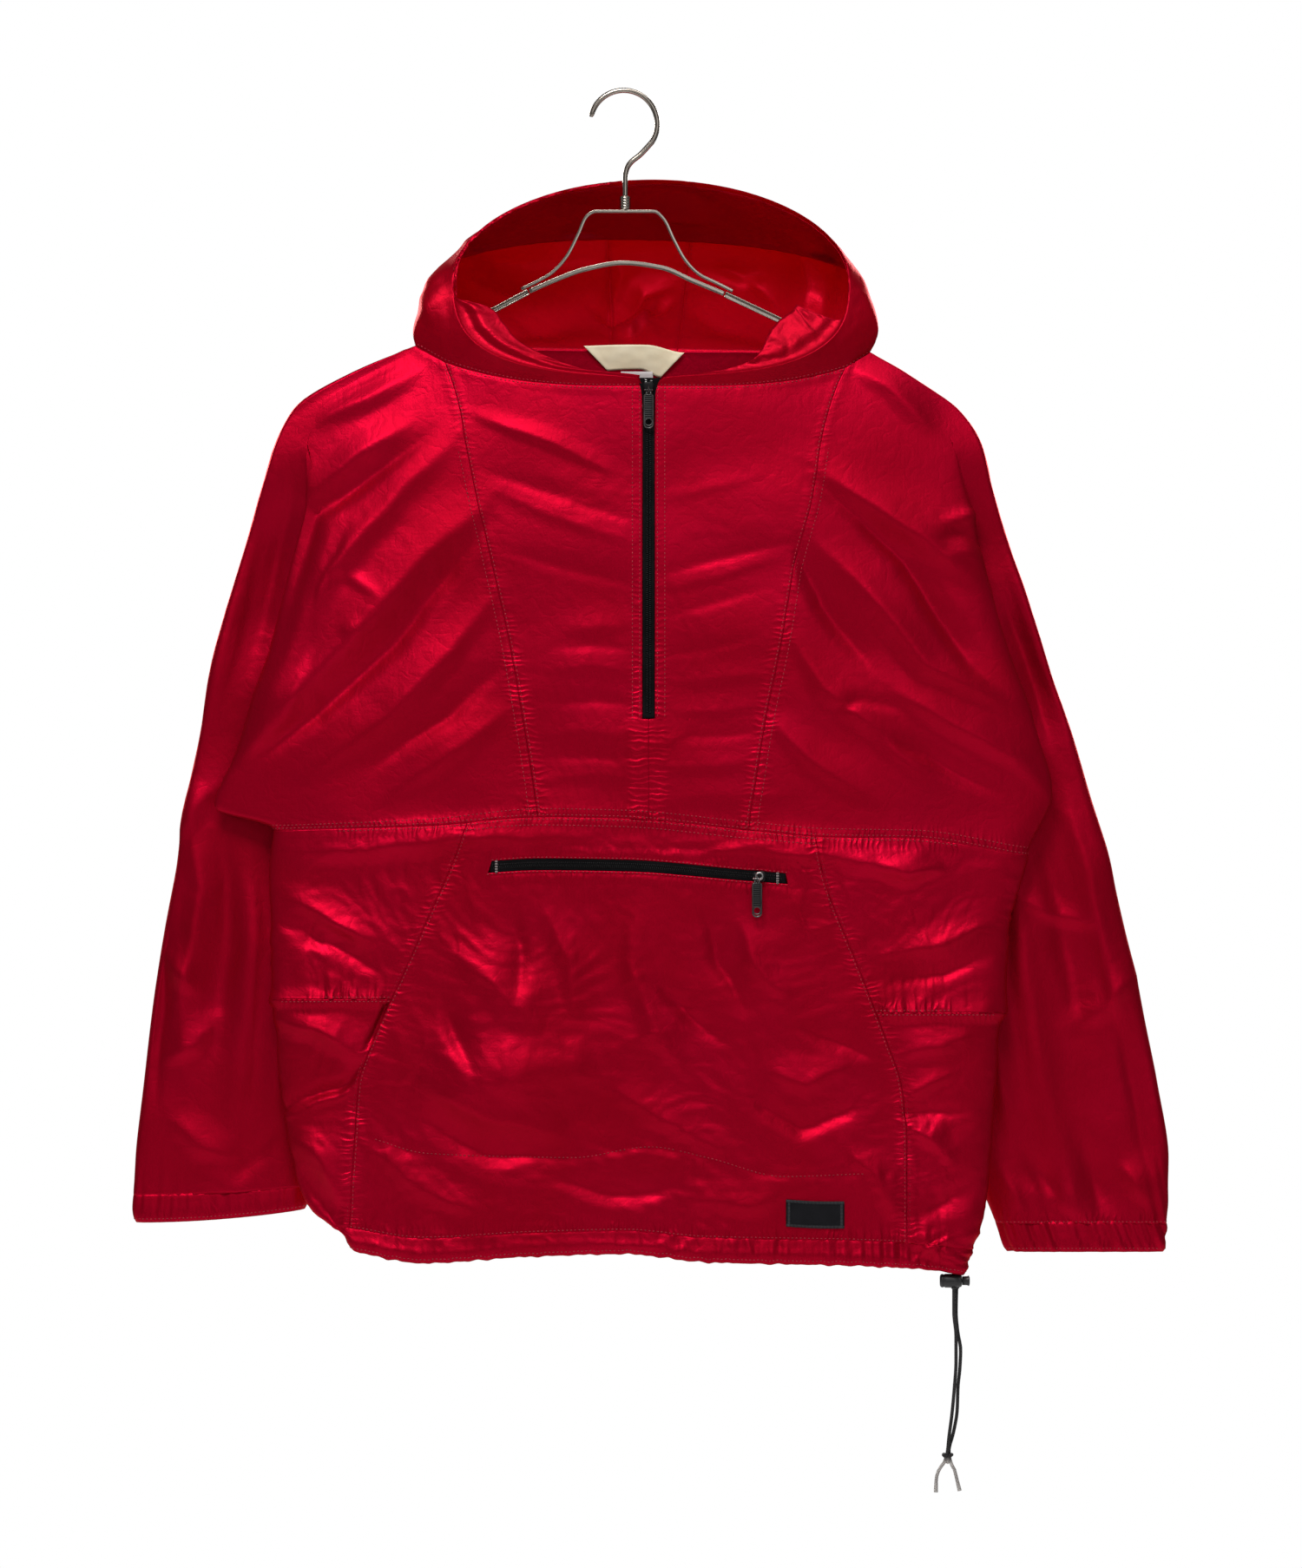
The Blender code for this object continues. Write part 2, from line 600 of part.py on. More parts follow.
# Shares along a stretch, closer together where the cloth turns.
BACK_SHARES = (0.0, 0.25, 0.5, 0.7, 0.85, 1.0)
ROUND_SHARES = (0.0, 0.09, 0.2, 0.36, 0.43, 0.5, 0.57, 0.64, 0.8, 0.93, 1.0)
FOLD_SHARES = (0.0, 0.125, 0.25, 0.3125, 0.375, 0.4375, 0.5)
SIDE_SHARES = FOLD_SHARES + (0.6667, 0.8333, 1.0)
CENTRE_BACK_SHARES = (0.0, 0.105, 0.21, 0.315, 0.42, 0.5, 0.58, 0.685, 0.79, 0.895, 1.0)
SLEEVE_TOP_SHARES = (1.0, 0.9, 0.8, 0.7, 0.6, 0.52, 0.45, 0.38, 0.3, 0.2, 0.1, 0.0)


def flat_start(side):
    """Return where a side's front lies flat on the chest seam, and its front and pouch seams."""
    k = sleeve_row(side, UNDERARM_ROW)
    flat = k["wing"] + math.copysign(FOLD_REACH, k["front"] - k["wing"])
    return flat, k["front"], body_sizes(side, CHEST_DROP)[2]


def sleeve_front_shares(side):
    """Return a sleeve's front shares, with one where the pouch's side seam meets the chest seam."""
    flat, front, pouch = flat_start(side)
    at = (flat - pouch) / (flat - front)
    return FOLD_SHARES + tuple(0.5 + share / 2 for share in (at / 3, at * 2 / 3, at, (at + 1) / 2, 1.0))


def pouch_shares(drop):
    """Return the pouch's shares at a drop: seam meeting points above, the slot's columns beside it."""
    right = body_sizes("right", drop)[2]
    left = body_sizes("left", drop)[2]
    if abs(drop - POCKET_DROP) < POCKET_HALF + 0.1:
        stops = [right] + spaced(POCKET_ENDS[0], POCKET_ENDS[1], 9) + [left]
        return [(x - right) / (left - right) for x in stops]
    right = body_sizes("right", CHEST_DROP)[2]
    left = body_sizes("left", CHEST_DROP)[2]
    front_right = flat_start("right")[1]
    front_left = flat_start("left")[1]
    stops = [right, (right + front_right) / 2] + spaced(front_right, ZIP_AT, 4)
    stops += spaced(ZIP_AT, front_left, 4)[1:] + [(left + front_left) / 2, left]
    return [(x - right) / (left - right) for x in stops]


def lower_back_shares():
    """Return the lower back's shares, which meet those of the sleeves and the upper back."""
    right = sleeve_row("right", UNDERARM_ROW)
    left = sleeve_row("left", UNDERARM_ROW)
    first = right["inner"] + BACK_REACH
    last = left["inner"] - BACK_REACH
    stops = [first, (first + right["back"]) / 2]
    stops += [mix(right["back"], left["back"], share) for share in CENTRE_BACK_SHARES]
    stops += [(last + left["back"]) / 2, last]
    turns = [2 * (1 - share) for share in reversed(BACK_SHARES[3:])]
    middle = [1 + (x - first) / (last - first) for x in stops]
    return turns + middle + [3 - share for share in reversed(turns)]


def hood_columns():
    """Return where the hood's columns stand along the neck seam, and the centre strip's columns."""
    _, front_end, right_end, back_end, left_end, _ = NECK_SHARES
    columns = spaced(0, front_end, 4)[:-1]
    columns += [mix(front_end, right_end, 1 - t) for t in SLEEVE_TOP_SHARES][:-1]
    columns += [mix(right_end, back_end, share) for share in CENTRE_BACK_SHARES]
    columns += [mix(back_end, left_end, t) for t in reversed(SLEEVE_TOP_SHARES)][1:]
    columns += spaced(left_end, 1, 4)[1:]
    strip_start = columns.index(mix(right_end, back_end, CENTRE_BACK_SHARES[4]))
    return columns, strip_start


def build_sleeve(side):
    """Make a dolman sleeve from its neck edge to the cuff seam."""
    upper = []
    for row in UPPER_ROWS:
        back = [sleeve_point(side, row, "back", share) for share in BACK_SHARES[:-1]]
        middle = [sleeve_point(side, row, "round", share) for share in ROUND_SHARES]
        front = [sleeve_point(side, row, "front", share) for share in sleeve_front_shares(side)[1:]]
        upper.append(back + middle + front)
    start = len(BACK_SHARES) - 1
    loop = slice(start, start + len(ROUND_SHARES))
    tube = [upper[-1][loop]]
    for row in range(UNDERARM_ROW + 1, CUFF_ROW + 1):
        tube.append([sleeve_point(side, row, "round", share) for share in ROUND_SHARES])
    trimmed = trim(upper)
    trimmed[-1][loop] = tube[0]
    cloth("sleeve_" + side, [trimmed, trim(tube, top=0.0, first=0.0, last=0.0)])


def build_cuff(side):
    """Make the elastic cuff at a sleeve's end."""
    grid = []
    for row in spaced(CUFF_ROW, SLEEVE_END_ROW, 3):
        grid.append([sleeve_point(side, row, "round", share) for share in ROUND_SHARES[:-1]])
    cloth("cuff_" + side, [trim(grid, bottom=0.0, first=0.0, last=0.0)], closed=True)


def row_at(drop):
    """Return the row at which the middle of the front reaches a drop."""
    low, high = 0.0, float(UNDERARM_ROW)
    for _ in range(40):
        middle = (low + high) / 2
        if -upper_point(middle, front_share(middle, ZIP_AT), "front")[2] < drop:
            low = middle
        else:
            high = middle
    return low


def build_upper():
    """Make the two centre fronts, with the zip's slot between them, and the upper back."""
    rows = sorted(UPPER_ROWS + (row_at(FRONT_ZIP_END - 0.3), row_at(FRONT_ZIP_END + 0.3)))
    for name, seam_share, way in (("front_centre_right", 0.0, -1), ("front_centre_left", 1.0, 1)):
        grid = []
        for row in rows:
            half = ZIP_SLOT_HALF if row < row_at(FRONT_ZIP_END) else 0.0
            shares = spaced(seam_share, front_share(row, ZIP_AT + way * half), 4)
            grid.append([upper_point(row, share, "front") for share in shares])
        if way > 0:
            grid = [row[::-1] for row in grid]
        cloth(name, [trim(grid)])
    grid = [[upper_point(row, share, "back") for share in CENTRE_BACK_SHARES] for row in UPPER_ROWS]
    cloth("back_upper", [trim(grid)])
    return grid


def build_body():
    """Make the pouch, the side panels, the lower back and the hem casing."""
    pouch = [[pouch_point(drop, share) for share in pouch_shares(drop)] for drop in BODY_DROPS]
    slot = {(1, j) for j in range(1, len(pouch[0]) - 2)}
    cloth("pouch_panel", [trim(pouch)], slot=slot)
    for side in ("right", "left"):
        split = SIDE_SEAM_DROP[side]
        for name, drops in (("side_upper_", [drop for drop in BODY_DROPS if drop <= split]),
                            ("side_lower_", [drop for drop in BODY_DROPS if drop >= split])):
            grid = trim([[side_point(side, drop, share) for share in SIDE_SHARES] for drop in drops])
            if name == "side_upper_":
                grid[0][:7] -= (0.0, 0.0, 0.6)
            cloth(name + side, [grid])
    grid = trim([[back_point(drop, share) for share in lower_back_shares()] for drop in BODY_DROPS])
    for j in (0, 1, -2, -1):
        grid[0][j] -= (0.0, 0.0, 0.6)
    cloth("back_lower", [grid])
    ring = []
    for drop in spaced(HEM_SEAM_DROP, HEM_DROP, 3):
        row = [side_point("right", drop, share) for share in SIDE_SHARES[:-1]]
        row += [pouch_point(drop, share) for share in pouch_shares(HEM_SEAM_DROP)]
        row += [side_point("left", drop, share) for share in reversed(SIDE_SHARES[:-1])]
        row += [back_point(drop, share) for share in reversed(lower_back_shares()[1:-1])]
        ring.append(row)
    cloth("hem_casing", [trim(ring, top=SEAM, bottom=0.0, first=0.0, last=0.0)], closed=True)
    return pouch


def build_hood():
    """Make the hood's two sides and centre strip, and the facing inside its brim."""
    columns, strip_start = hood_columns()
    depths = spaced(0, 1, 8)
    hood = np.array([[hood_point(s, v) for s in columns] for v in depths])
    for name, first, last in (("hood_side_right", 0, strip_start),
                              ("hood_centre", strip_start, strip_start + 2),
                              ("hood_side_left", strip_start + 2, len(columns) - 1)):
        cloth(name, [trim(hood[:, first:last + 1], top=0.0, bottom=NECK_SEAM)])
    inside = raise_off(hood, CLOTH + SEAM + 0.1)
    span = [j for j, s in enumerate(columns) if FACING_SPAN[0] <= s <= FACING_SPAN[1]]
    grid = []
    for level in spaced(0, 1, 4):
        row = []
        for j in span:
            reach = (columns[j] - columns[span[0]]) / (columns[span[-1]] - columns[span[0]])
            deep = 0.06 + FACING_DEPTH * math.sin(math.pi * reach) ** 0.7
            at = (0.01 + level * deep) * (len(depths) - 1)
            i = int(at)
            row.append(mix(inside[i][j], inside[i + 1][j], at - i))
        grid.append(row)
    cloth("hood_facing", [grid], colour=DARK_RED)


def build_labels(back_grid, pouch_grid):
    """Make the bare neck label, care label and hem patch, each on its own panel's faces."""
    lift = CLOTH / 2 + SEAM + LABEL_THICK / 2
    for name, panel, sizes, colour in (("neck_label", back_grid, NECK_LABEL, CREAM),
                                       ("care_label", back_grid, CARE_LABEL, GREY),
                                       ("hem_patch", pouch_grid, HEM_PATCH, BLACK)):
        left, right, top, bottom, inset = sizes
        grid = []
        for down in spaced(0, 1, 3):
            drop = mix(top, bottom, down)
            edge = inset * down
            grid.append([(x, depth_on(panel, x, -drop) - lift, -drop)
                         for x in spaced(left + edge, right - edge, 6)])
        cloth(name, [grid], colour=colour, thick=LABEL_THICK, roughness=0.8)


def build_zip(name, stops, point, out):
    """Make a zip's tape in its slot, and the coil on it, from a point at a stop and an offset."""
    tape = [[point(stop, offset) for offset in (-out, 0.0, out)] for stop in stops]
    cloth(name + "_tape", [tape], colour=BLACK, thick=TAPE, roughness=0.6)
    half = COIL_WIDTH / 2
    lift = TAPE / 2 + SEAM + COIL_THICK / 2
    coil = [[point(stop, offset) for offset in (-half, 0.0, half)] for stop in stops]
    coil = [[(x, y - lift, z) for x, y, z in row] for row in coil]
    cloth(name + "_coil", [coil], colour=BLACK, thick=COIL_THICK, roughness=0.35)


def as_mesh(thing):
    """Turn a curve object into a mesh object with welded caps."""
    graph = bpy.context.evaluated_depsgraph_get()
    mesh = bpy.data.meshes.new_from_object(thing.evaluated_get(graph))
    welded = bmesh.new()
    welded.from_mesh(mesh)
    bmesh.ops.remove_doubles(welded, verts=welded.verts, dist=1e-6)
    welded.to_mesh(mesh)
    welded.free()
    made = bpy.data.objects.new(thing.name, mesh)
    made.matrix_world = thing.matrix_world
    bpy.context.collection.objects.link(made)
    name = thing.name
    bpy.data.objects.remove(thing)
    made.name = name
    return made


def outline(name, loops, depth):
    """Make a flat outline with its holes, of the given depth, as a filled 2D curve."""
    curve = bpy.data.curves.new(name, "CURVE")
    curve.dimensions = "2D"
    curve.fill_mode = "BOTH"
    curve.extrude = depth / 2 * MM
    for loop in loops:
        spline = curve.splines.new("POLY")
        spline.points.add(len(loop) - 1)
        spline.use_cyclic_u = True
        for point, (x, y) in zip(spline.points, loop):
            point.co = (x * MM, y * MM, 0.0, 1.0)
    thing = bpy.data.objects.new(name, curve)
    bpy.context.collection.objects.link(thing)
    return thing


def wire(name, route, radius, sides=2):
    """Make a round wire or cord along a route, with filled caps."""
    curve = bpy.data.curves.new(name, "CURVE")
    curve.dimensions = "3D"
    curve.bevel_depth = radius * MM
    curve.bevel_resolution = sides
    curve.use_fill_caps = True
    spline = curve.splines.new("POLY")
    spline.points.add(len(route) - 1)
    for point, place_at in zip(spline.points, route):
        point.co = (place_at[0] * MM, place_at[1] * MM, place_at[2] * MM, 1.0)
    thing = bpy.data.objects.new(name, curve)
    bpy.context.collection.objects.link(thing)
    return thing


def smooth_route(points, spacing):
    """Return evenly spaced points of a smooth curve through the given points."""
    points = [np.array(point, float) for point in points]
    lengths = [0.0]
    for before, after in zip(points, points[1:]):
        lengths.append(lengths[-1] + float(np.linalg.norm(after - before)))
    count = max(int(round(lengths[-1] / spacing)), 2)
    axes = np.array(points).T
    return [tuple(pchip(np.array(lengths), axis, at) for axis in axes)
            for at in spaced(0, lengths[-1], count + 1)]


def strip(name, path, width, depth):
    """Make a metal strip that follows a path in the hanger's plane."""
    route = smooth_route([(x, 0.0, z) for x, z in path], 9.0)
    upper = []
    lower = []
    for i, (x, _, z) in enumerate(route):
        before = route[max(i - 1, 0)]
        after = route[min(i + 1, len(route) - 1)]
        along = Vector((after[0] - before[0], after[2] - before[2])).normalized()
        upper.append((x - along.y * width / 2, z + along.x * width / 2))
        lower.append((x + along.y * width / 2, z - along.x * width / 2))
    thing = outline(name, [upper + lower[::-1]], depth)
    thing.rotation_euler = (math.pi / 2, 0.0, 0.0)
    return finish(thing, STEEL, 0.3, 1.0)


def build_hanger():
    """Make the hook, ferrule, yoke, arch bar and arms."""
    route = []
    for angle in spaced(168, -34, 18):
        turn = math.radians(angle)
        route.append((HOOK_CENTRE[0] + HOOK_RADIUS * math.cos(turn), 0.0,
                      HOOK_CENTRE[1] + HOOK_RADIUS * math.sin(turn)))
    neck = [route[-1]] + [(x, 0.0, z) for x, z in HOOK_NECK]
    route += smooth_route(neck, 4.0)[1:]
    finish(wire("hanger_hook", route, HOOK_WIRE, 3), STEEL, 0.25, 1.0)
    x, top, bottom, radius = FERRULE
    bpy.ops.mesh.primitive_cylinder_add(vertices=24, radius=radius * MM, depth=(top - bottom) * MM,
                                        location=(x * MM, 0.0, (top + bottom) / 2 * MM))
    ferrule = bpy.context.object
    ferrule.name = "hanger_ferrule"
    edge = ferrule.modifiers.new("edge", "BEVEL")
    edge.width = 0.5 * MM
    edge.segments = 1
    finish(ferrule, STEEL, 0.3, 1.0)
    strip("hanger_yoke", YOKE_PATH, YOKE_WIDTH, STRIP_DEPTH)
    strip("hanger_arch", ARCH_PATH, ARCH_WIDTH, STRIP_DEPTH)
    for side, path in ARM_PATHS.items():
        strip("hanger_arm_" + side, path, ARM_WIDTH, STRIP_DEPTH)


def block(name, at, size, bevel):
    """Make a bevelled block."""
    bpy.ops.mesh.primitive_cube_add(size=1.0, location=Vector(at) * MM)
    thing = bpy.context.object
    thing.name = name
    thing.scale = Vector(size) * MM
    bpy.ops.object.transform_apply(location=False, rotation=False, scale=True)
    edge = thing.modifiers.new("edge", "BEVEL")
    edge.width = bevel * MM
    edge.segments = 1
    return thing


def circle_points(x, y, radius, first, last, count):
    """Return points of an arc, in degrees."""
    return [(x + radius * math.cos(math.radians(a)), y + radius * math.sin(math.radians(a)))
            for a in spaced(first, last, count)]


def build_slider(name, at, size, pull):
    """Make a slider on its coil, its bail and the pull tab that hangs from the bail's bar."""
    x, cloth_y, z = at
    coil_face = cloth_y - TAPE / 2 - SEAM - COIL_THICK
    face = coil_face - SEAM - SLIDER["thick"]
    body = block(name + "_slider", (x, face + SLIDER["thick"] / 2, z),
                 (size[0], SLIDER["thick"], size[1]), 0.7)
    finish(body, BLACK, 0.3, 1.0)
    x = pull[0]
    bar_y = face - SEAM - BAIL_RISE
    bar_z = z + pull[1]
    bail = [(x - BAIL_HALF, face - SEAM, bar_z), (x - BAIL_HALF, bar_y + 0.9, bar_z),
            (x - BAIL_HALF + 0.9, bar_y, bar_z), (x + BAIL_HALF - 0.9, bar_y, bar_z),
            (x + BAIL_HALF, bar_y + 0.9, bar_z), (x + BAIL_HALF, face - SEAM, bar_z)]
    finish(wire(name + "_bail", bail, BAIL_WIRE), STEEL, 0.3, 1.0)
    bore = BAIL_WIRE + SEAM
    outer = bore + 0.7
    half = TAB["thick"] / 2
    length = TAB["length"]
    turn = math.degrees(math.asin(half / outer))
    profile = circle_points(0.0, 0.0, outer, -90 + turn, 270 - turn, 13)
    profile += [(-half, -length), (half, -length)]
    hole = circle_points(0.0, 0.0, bore, 0, 330, 12)
    knuckle = outline(name + "_tab", [profile, hole], TAB["knuckle"])
    knuckle.matrix_world = (Matrix.Translation(Vector((x, bar_y, bar_z)) * MM)
                            @ Matrix.Rotation(math.pi / 2, 4, "Z")
                            @ Matrix.Rotation(math.pi / 2, 4, "X"))
    bpy.context.view_layer.update()
    tab = as_mesh(knuckle)
    plate_top = -outer - 2.2
    plate = block(name + "_plate", (x, bar_y, bar_z + (plate_top - length - 0.6) / 2),
                  (TAB["width"], TAB["thick"] + 0.02, length + 0.6 + plate_top), 0.25)
    corner = plate.modifiers.new("weld", "WELD")
    corner.merge_threshold = 0.00001
    eye_z = bar_z - length + TAB["eye_up"]
    bpy.ops.mesh.primitive_cylinder_add(vertices=16, radius=TAB["eye"] * MM, depth=6 * MM,
                                        location=Vector((x, bar_y, eye_z)) * MM,
                                        rotation=(math.pi / 2, 0.0, 0.0))
    eye = bpy.context.object
    eye.name = name + "_eye"
    for tool, operation in ((plate, "UNION"), (eye, "DIFFERENCE")):
        cut = tab.modifiers.new(operation.lower(), "BOOLEAN")
        cut.object = tool
        cut.operation = operation
        for home in list(tool.users_collection):
            home.objects.unlink(tool)
        CUTTERS.objects.link(tool)
        tool.hide_render = True
        tool.display_type = "WIRE"
    finish(tab, BLACK, 0.35)


def build_zips():
    """Make the front zip and the pocket zip."""
    stops = spaced(217.5, FRONT_ZIP_END - 0.8, 11)

    def front(drop, offset):
        return (ZIP_AT + offset, front_y(ZIP_AT + offset, drop), -drop)

    build_zip("front_zip", stops, front, ZIP_SLOT_HALF - SEAM)
    x, drop = FRONT_SLIDER
    build_slider("front_zip", front(drop, 0.0), (SLIDER["width"], SLIDER["length"]), (x, -1.5))
    stops = spaced(POCKET_ENDS[0], POCKET_ENDS[1], 9)
    stops[0] += 2 * SEAM
    stops[-1] -= 2 * SEAM

    def pocket(x, offset):
        return place(x, front_y(x, POCKET_DROP), POCKET_DROP + offset)

    build_zip("pocket_zip", stops, pocket, POCKET_HALF - SEAM)
    middle, pull = POCKET_SLIDER
    build_slider("pocket_zip", pocket(middle, 0.0), (SLIDER["length"], SLIDER["width"]), (pull, -1.5))


def build_cord():
    """Make the cord lock, the drawcord's strands, its knot and its free ends."""
    x, y, z = LOCK_AT
    for name, radius, length, shift, colour in (
            ("cord_lock_barrel", LOCK_RADIUS, LOCK_LENGTH, 0.0, BLACK),
            ("cord_lock_plunger", PLUNGER_RADIUS, PLUNGER_LENGTH,
             LOCK_LENGTH / 2 + SEAM + PLUNGER_LENGTH / 2, BLACK)):
        bpy.ops.mesh.primitive_cylinder_add(vertices=24, radius=radius * MM, depth=length * MM,
                                            location=Vector((x + shift, y, z)) * MM,
                                            rotation=(0.0, math.pi / 2, 0.0))
        piece = bpy.context.object
        piece.name = name
        edge = piece.modifiers.new("edge", "BEVEL")
        edge.width = 0.8 * MM
        edge.segments = 2
        finish(piece, colour, 0.4)
    for name, route in STRAND_ROUTES.items():
        finish(wire(name, smooth_route(route, 6.0), CORD_RADIUS), BLACK, 0.7)
    for name, route in END_ROUTES.items():
        finish(wire(name, smooth_route(route, 4.0), END_RADIUS), GREY, 0.8)
    bpy.ops.mesh.primitive_uv_sphere_add(segments=16, ring_count=10, radius=1.0,
                                         location=Vector(KNOT_AT) * MM)
    knot = bpy.context.object
    knot.name = "cord_knot"
    knot.scale = Vector(KNOT_HALF) * MM
    bpy.ops.object.transform_apply(location=False, rotation=False, scale=True)
    finish(knot, BLACK, 0.8)


def main():
    """Clear the scene and build the garment and its hanger."""
    for thing in list(bpy.data.objects):
        bpy.data.objects.remove(thing)
    bpy.context.scene.collection.children.link(PARTS)
    bpy.context.scene.collection.children.link(CUTTERS)
    back_grid = build_upper()
    for side in ("right", "left"):
        build_sleeve(side)
        build_cuff(side)
    pouch_grid = build_body()
    build_hood()
    build_labels(back_grid, pouch_grid)
    build_zips()
    build_cord()
    build_hanger()


main()
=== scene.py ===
import math

import bpy
import numpy as np
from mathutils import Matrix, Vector


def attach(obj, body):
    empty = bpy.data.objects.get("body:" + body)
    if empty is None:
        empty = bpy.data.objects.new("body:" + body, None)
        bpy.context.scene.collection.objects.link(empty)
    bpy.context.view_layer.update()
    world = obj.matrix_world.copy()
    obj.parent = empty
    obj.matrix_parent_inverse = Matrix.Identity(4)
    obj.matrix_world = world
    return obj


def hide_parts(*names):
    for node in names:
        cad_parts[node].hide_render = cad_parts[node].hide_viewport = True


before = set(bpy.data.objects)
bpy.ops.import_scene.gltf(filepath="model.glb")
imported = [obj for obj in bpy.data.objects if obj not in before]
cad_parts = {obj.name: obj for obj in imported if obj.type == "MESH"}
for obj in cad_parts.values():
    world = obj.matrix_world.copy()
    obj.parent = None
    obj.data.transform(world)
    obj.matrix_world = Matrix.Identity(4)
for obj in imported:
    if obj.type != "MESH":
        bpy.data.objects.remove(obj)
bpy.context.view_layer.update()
scene = bpy.context.scene
scene.view_settings.view_transform = "Standard"
scene.view_settings.look = "None"
mm = 0.001

# ---- camera: level, square to the garment's front
shot = {"mmPerPixel": 0.65, "frame": (1500, 1806), "hookTopAt": (718, 104), "distance": 5000.0, "sharpPlane": -20.0}


def addCamera():
    width, height = shot["frame"]
    x = (width / 2 - shot["hookTopAt"][0]) * shot["mmPerPixel"]
    z = (shot["hookTopAt"][1] - height / 2) * shot["mmPerPixel"]
    data = bpy.data.cameras.new("frontCamera")
    data.sensor_fit, data.sensor_height, data.clip_end = "VERTICAL", 36.0, 60.0
    data.lens = data.sensor_height * shot["distance"] / (height * shot["mmPerPixel"])
    camera = bpy.data.objects.new("frontCamera", data)
    camera.location = Vector((x, shot["sharpPlane"] - shot["distance"], z)) * mm
    camera.rotation_euler = (math.pi / 2, 0.0, 0.0)
    scene.collection.objects.link(camera)
    scene.camera = camera


addCamera()
print("camera set")


# ---- small sums used all through, on whole arrays
def mix(a, b, share):
    return a + (b - a) * share


def smooth(t):
    t = np.clip(t, 0.0, 1.0)
    return t * t * (3 - 2 * t)


def hump(t, power=2):
    return np.exp(-t ** power)


def pchip(xs, ys, x):
    # smooth curve through the points (xs, ys) that never overshoots them
    xs, ys = np.asarray(xs, float), np.asarray(ys, float)
    step = np.diff(xs)
    slope = np.diff(ys) / step
    tangent = np.zeros(len(xs))
    tangent[0], tangent[-1] = slope[0], slope[-1]
    for i in range(1, len(xs) - 1):
        if slope[i - 1] * slope[i] > 0:
            before, after = 2 * step[i] + step[i - 1], step[i] + 2 * step[i - 1]
            tangent[i] = (before + after) / (before / slope[i - 1] + after / slope[i])
    x = np.clip(x, xs[0], xs[-1])
    i = np.clip(np.searchsorted(xs, x, side="right") - 1, 0, len(xs) - 2)
    t = (x - xs[i]) / step[i]
    rise = ys[i + 1] - ys[i]
    start, end = tangent[i] * step[i], tangent[i + 1] * step[i]
    return ys[i] + t * (start + t * (3 * rise - 2 * start - end + t * (start + end - 2 * rise)))


def run(controls, share):
    # curve drawn softly inside its control polygon; controls are (x, y, drop) of arrays
    shape = np.broadcast_shapes(np.shape(share), *(np.shape(v) for point in controls for v in point))
    poly = np.array([[np.broadcast_to(v, shape) for v in point] for point in controls], float)
    pieces = len(controls) - 2
    at = np.clip(np.broadcast_to(share, shape), 0, 1) * pieces
    i = np.minimum(at.astype(int), pieces - 1)
    t = at - i
    first, middle, last = (np.take_along_axis(poly, (i + n)[None, None], axis=0)[0] for n in range(3))
    start = np.where(i == 0, first, (first + middle) / 2)
    end = np.where(i == pieces - 1, last, (middle + last) / 2)
    return tuple((1 - t) ** 2 * start + 2 * t * (1 - t) * middle + t * t * end)


def stack(x, y, z):
    return np.stack(np.broadcast_arrays(x, y, z), axis=-1).astype(float)


def unit(vectors):
    return vectors / np.maximum(np.linalg.norm(vectors, axis=-1, keepdims=True), 1e-9)


def lengthsAlong(points):
    return np.append(0.0, np.cumsum(np.linalg.norm(np.diff(points, axis=0), axis=1)))


def ramp(count):
    return np.linspace(0, 1, count)


def circle(count):
    return np.linspace(0, 2 * math.pi, count)


def between(stops, spacing):
    # values from stop to stop, no further apart than the spacing, with every stop kept
    found = [stops[0]]
    for a, b in zip(stops, stops[1:]):
        count = max(int(math.ceil(abs(b - a) / spacing)), 1)
        found += [a + (b - a) * (i + 1) / count for i in range(count)]
    return np.array(found)


def edged(width, spacing, first=True, last=True):
    # shares across a panel, closer together beside a sewn edge
    near = [0.0, 0.8, 1.7, 2.8, 4.2, 6.2]
    start = [v / width for v in near] if first else [0.0]
    end = [1 - v / width for v in reversed(near)] if last else [1.0]
    return between(start + end, spacing / width)


# ---- form of the garment, in millimetres; a drop is a distance below the hook's inner top
form = {
    "centre": 18.0, "ridgeTop": 100.0, "ridgeFall": 0.53, "ridgeHalf": 6.0, "frontBulge": 34.0, "backBulge": 24.0,
    "bulgeReach": 80.0, "hiddenLayer": -11.0, "sleeveLayer": -1.0, "sleeveBack": 18.0, "underarmY": -7.0,
    "chestDrop": 549.0, "hemSeamDrop": 859.0, "hemDrop": 877.0, "foldReach": 24.0, "backReach": 60.0,
    "chestSag": ((-250, 5), (-145, 1.5), (-60, -5), (0, -4), (95, 5), (157, 10), (216, 11), (300, 24)),
    "hemSag": ((-205, -9), (-150, 0), (-70, -5), (0, -7), (60, -1), (175, 2), (235, 6), (256, 10)),
}
zips = {"frontAt": 19.0, "frontHalf": 4.6, "frontEnd": 471.0, "pocketDrop": 583.5,
        "pocketHalf": 4.3, "pocketEnds": (-99.5, 122.0)}
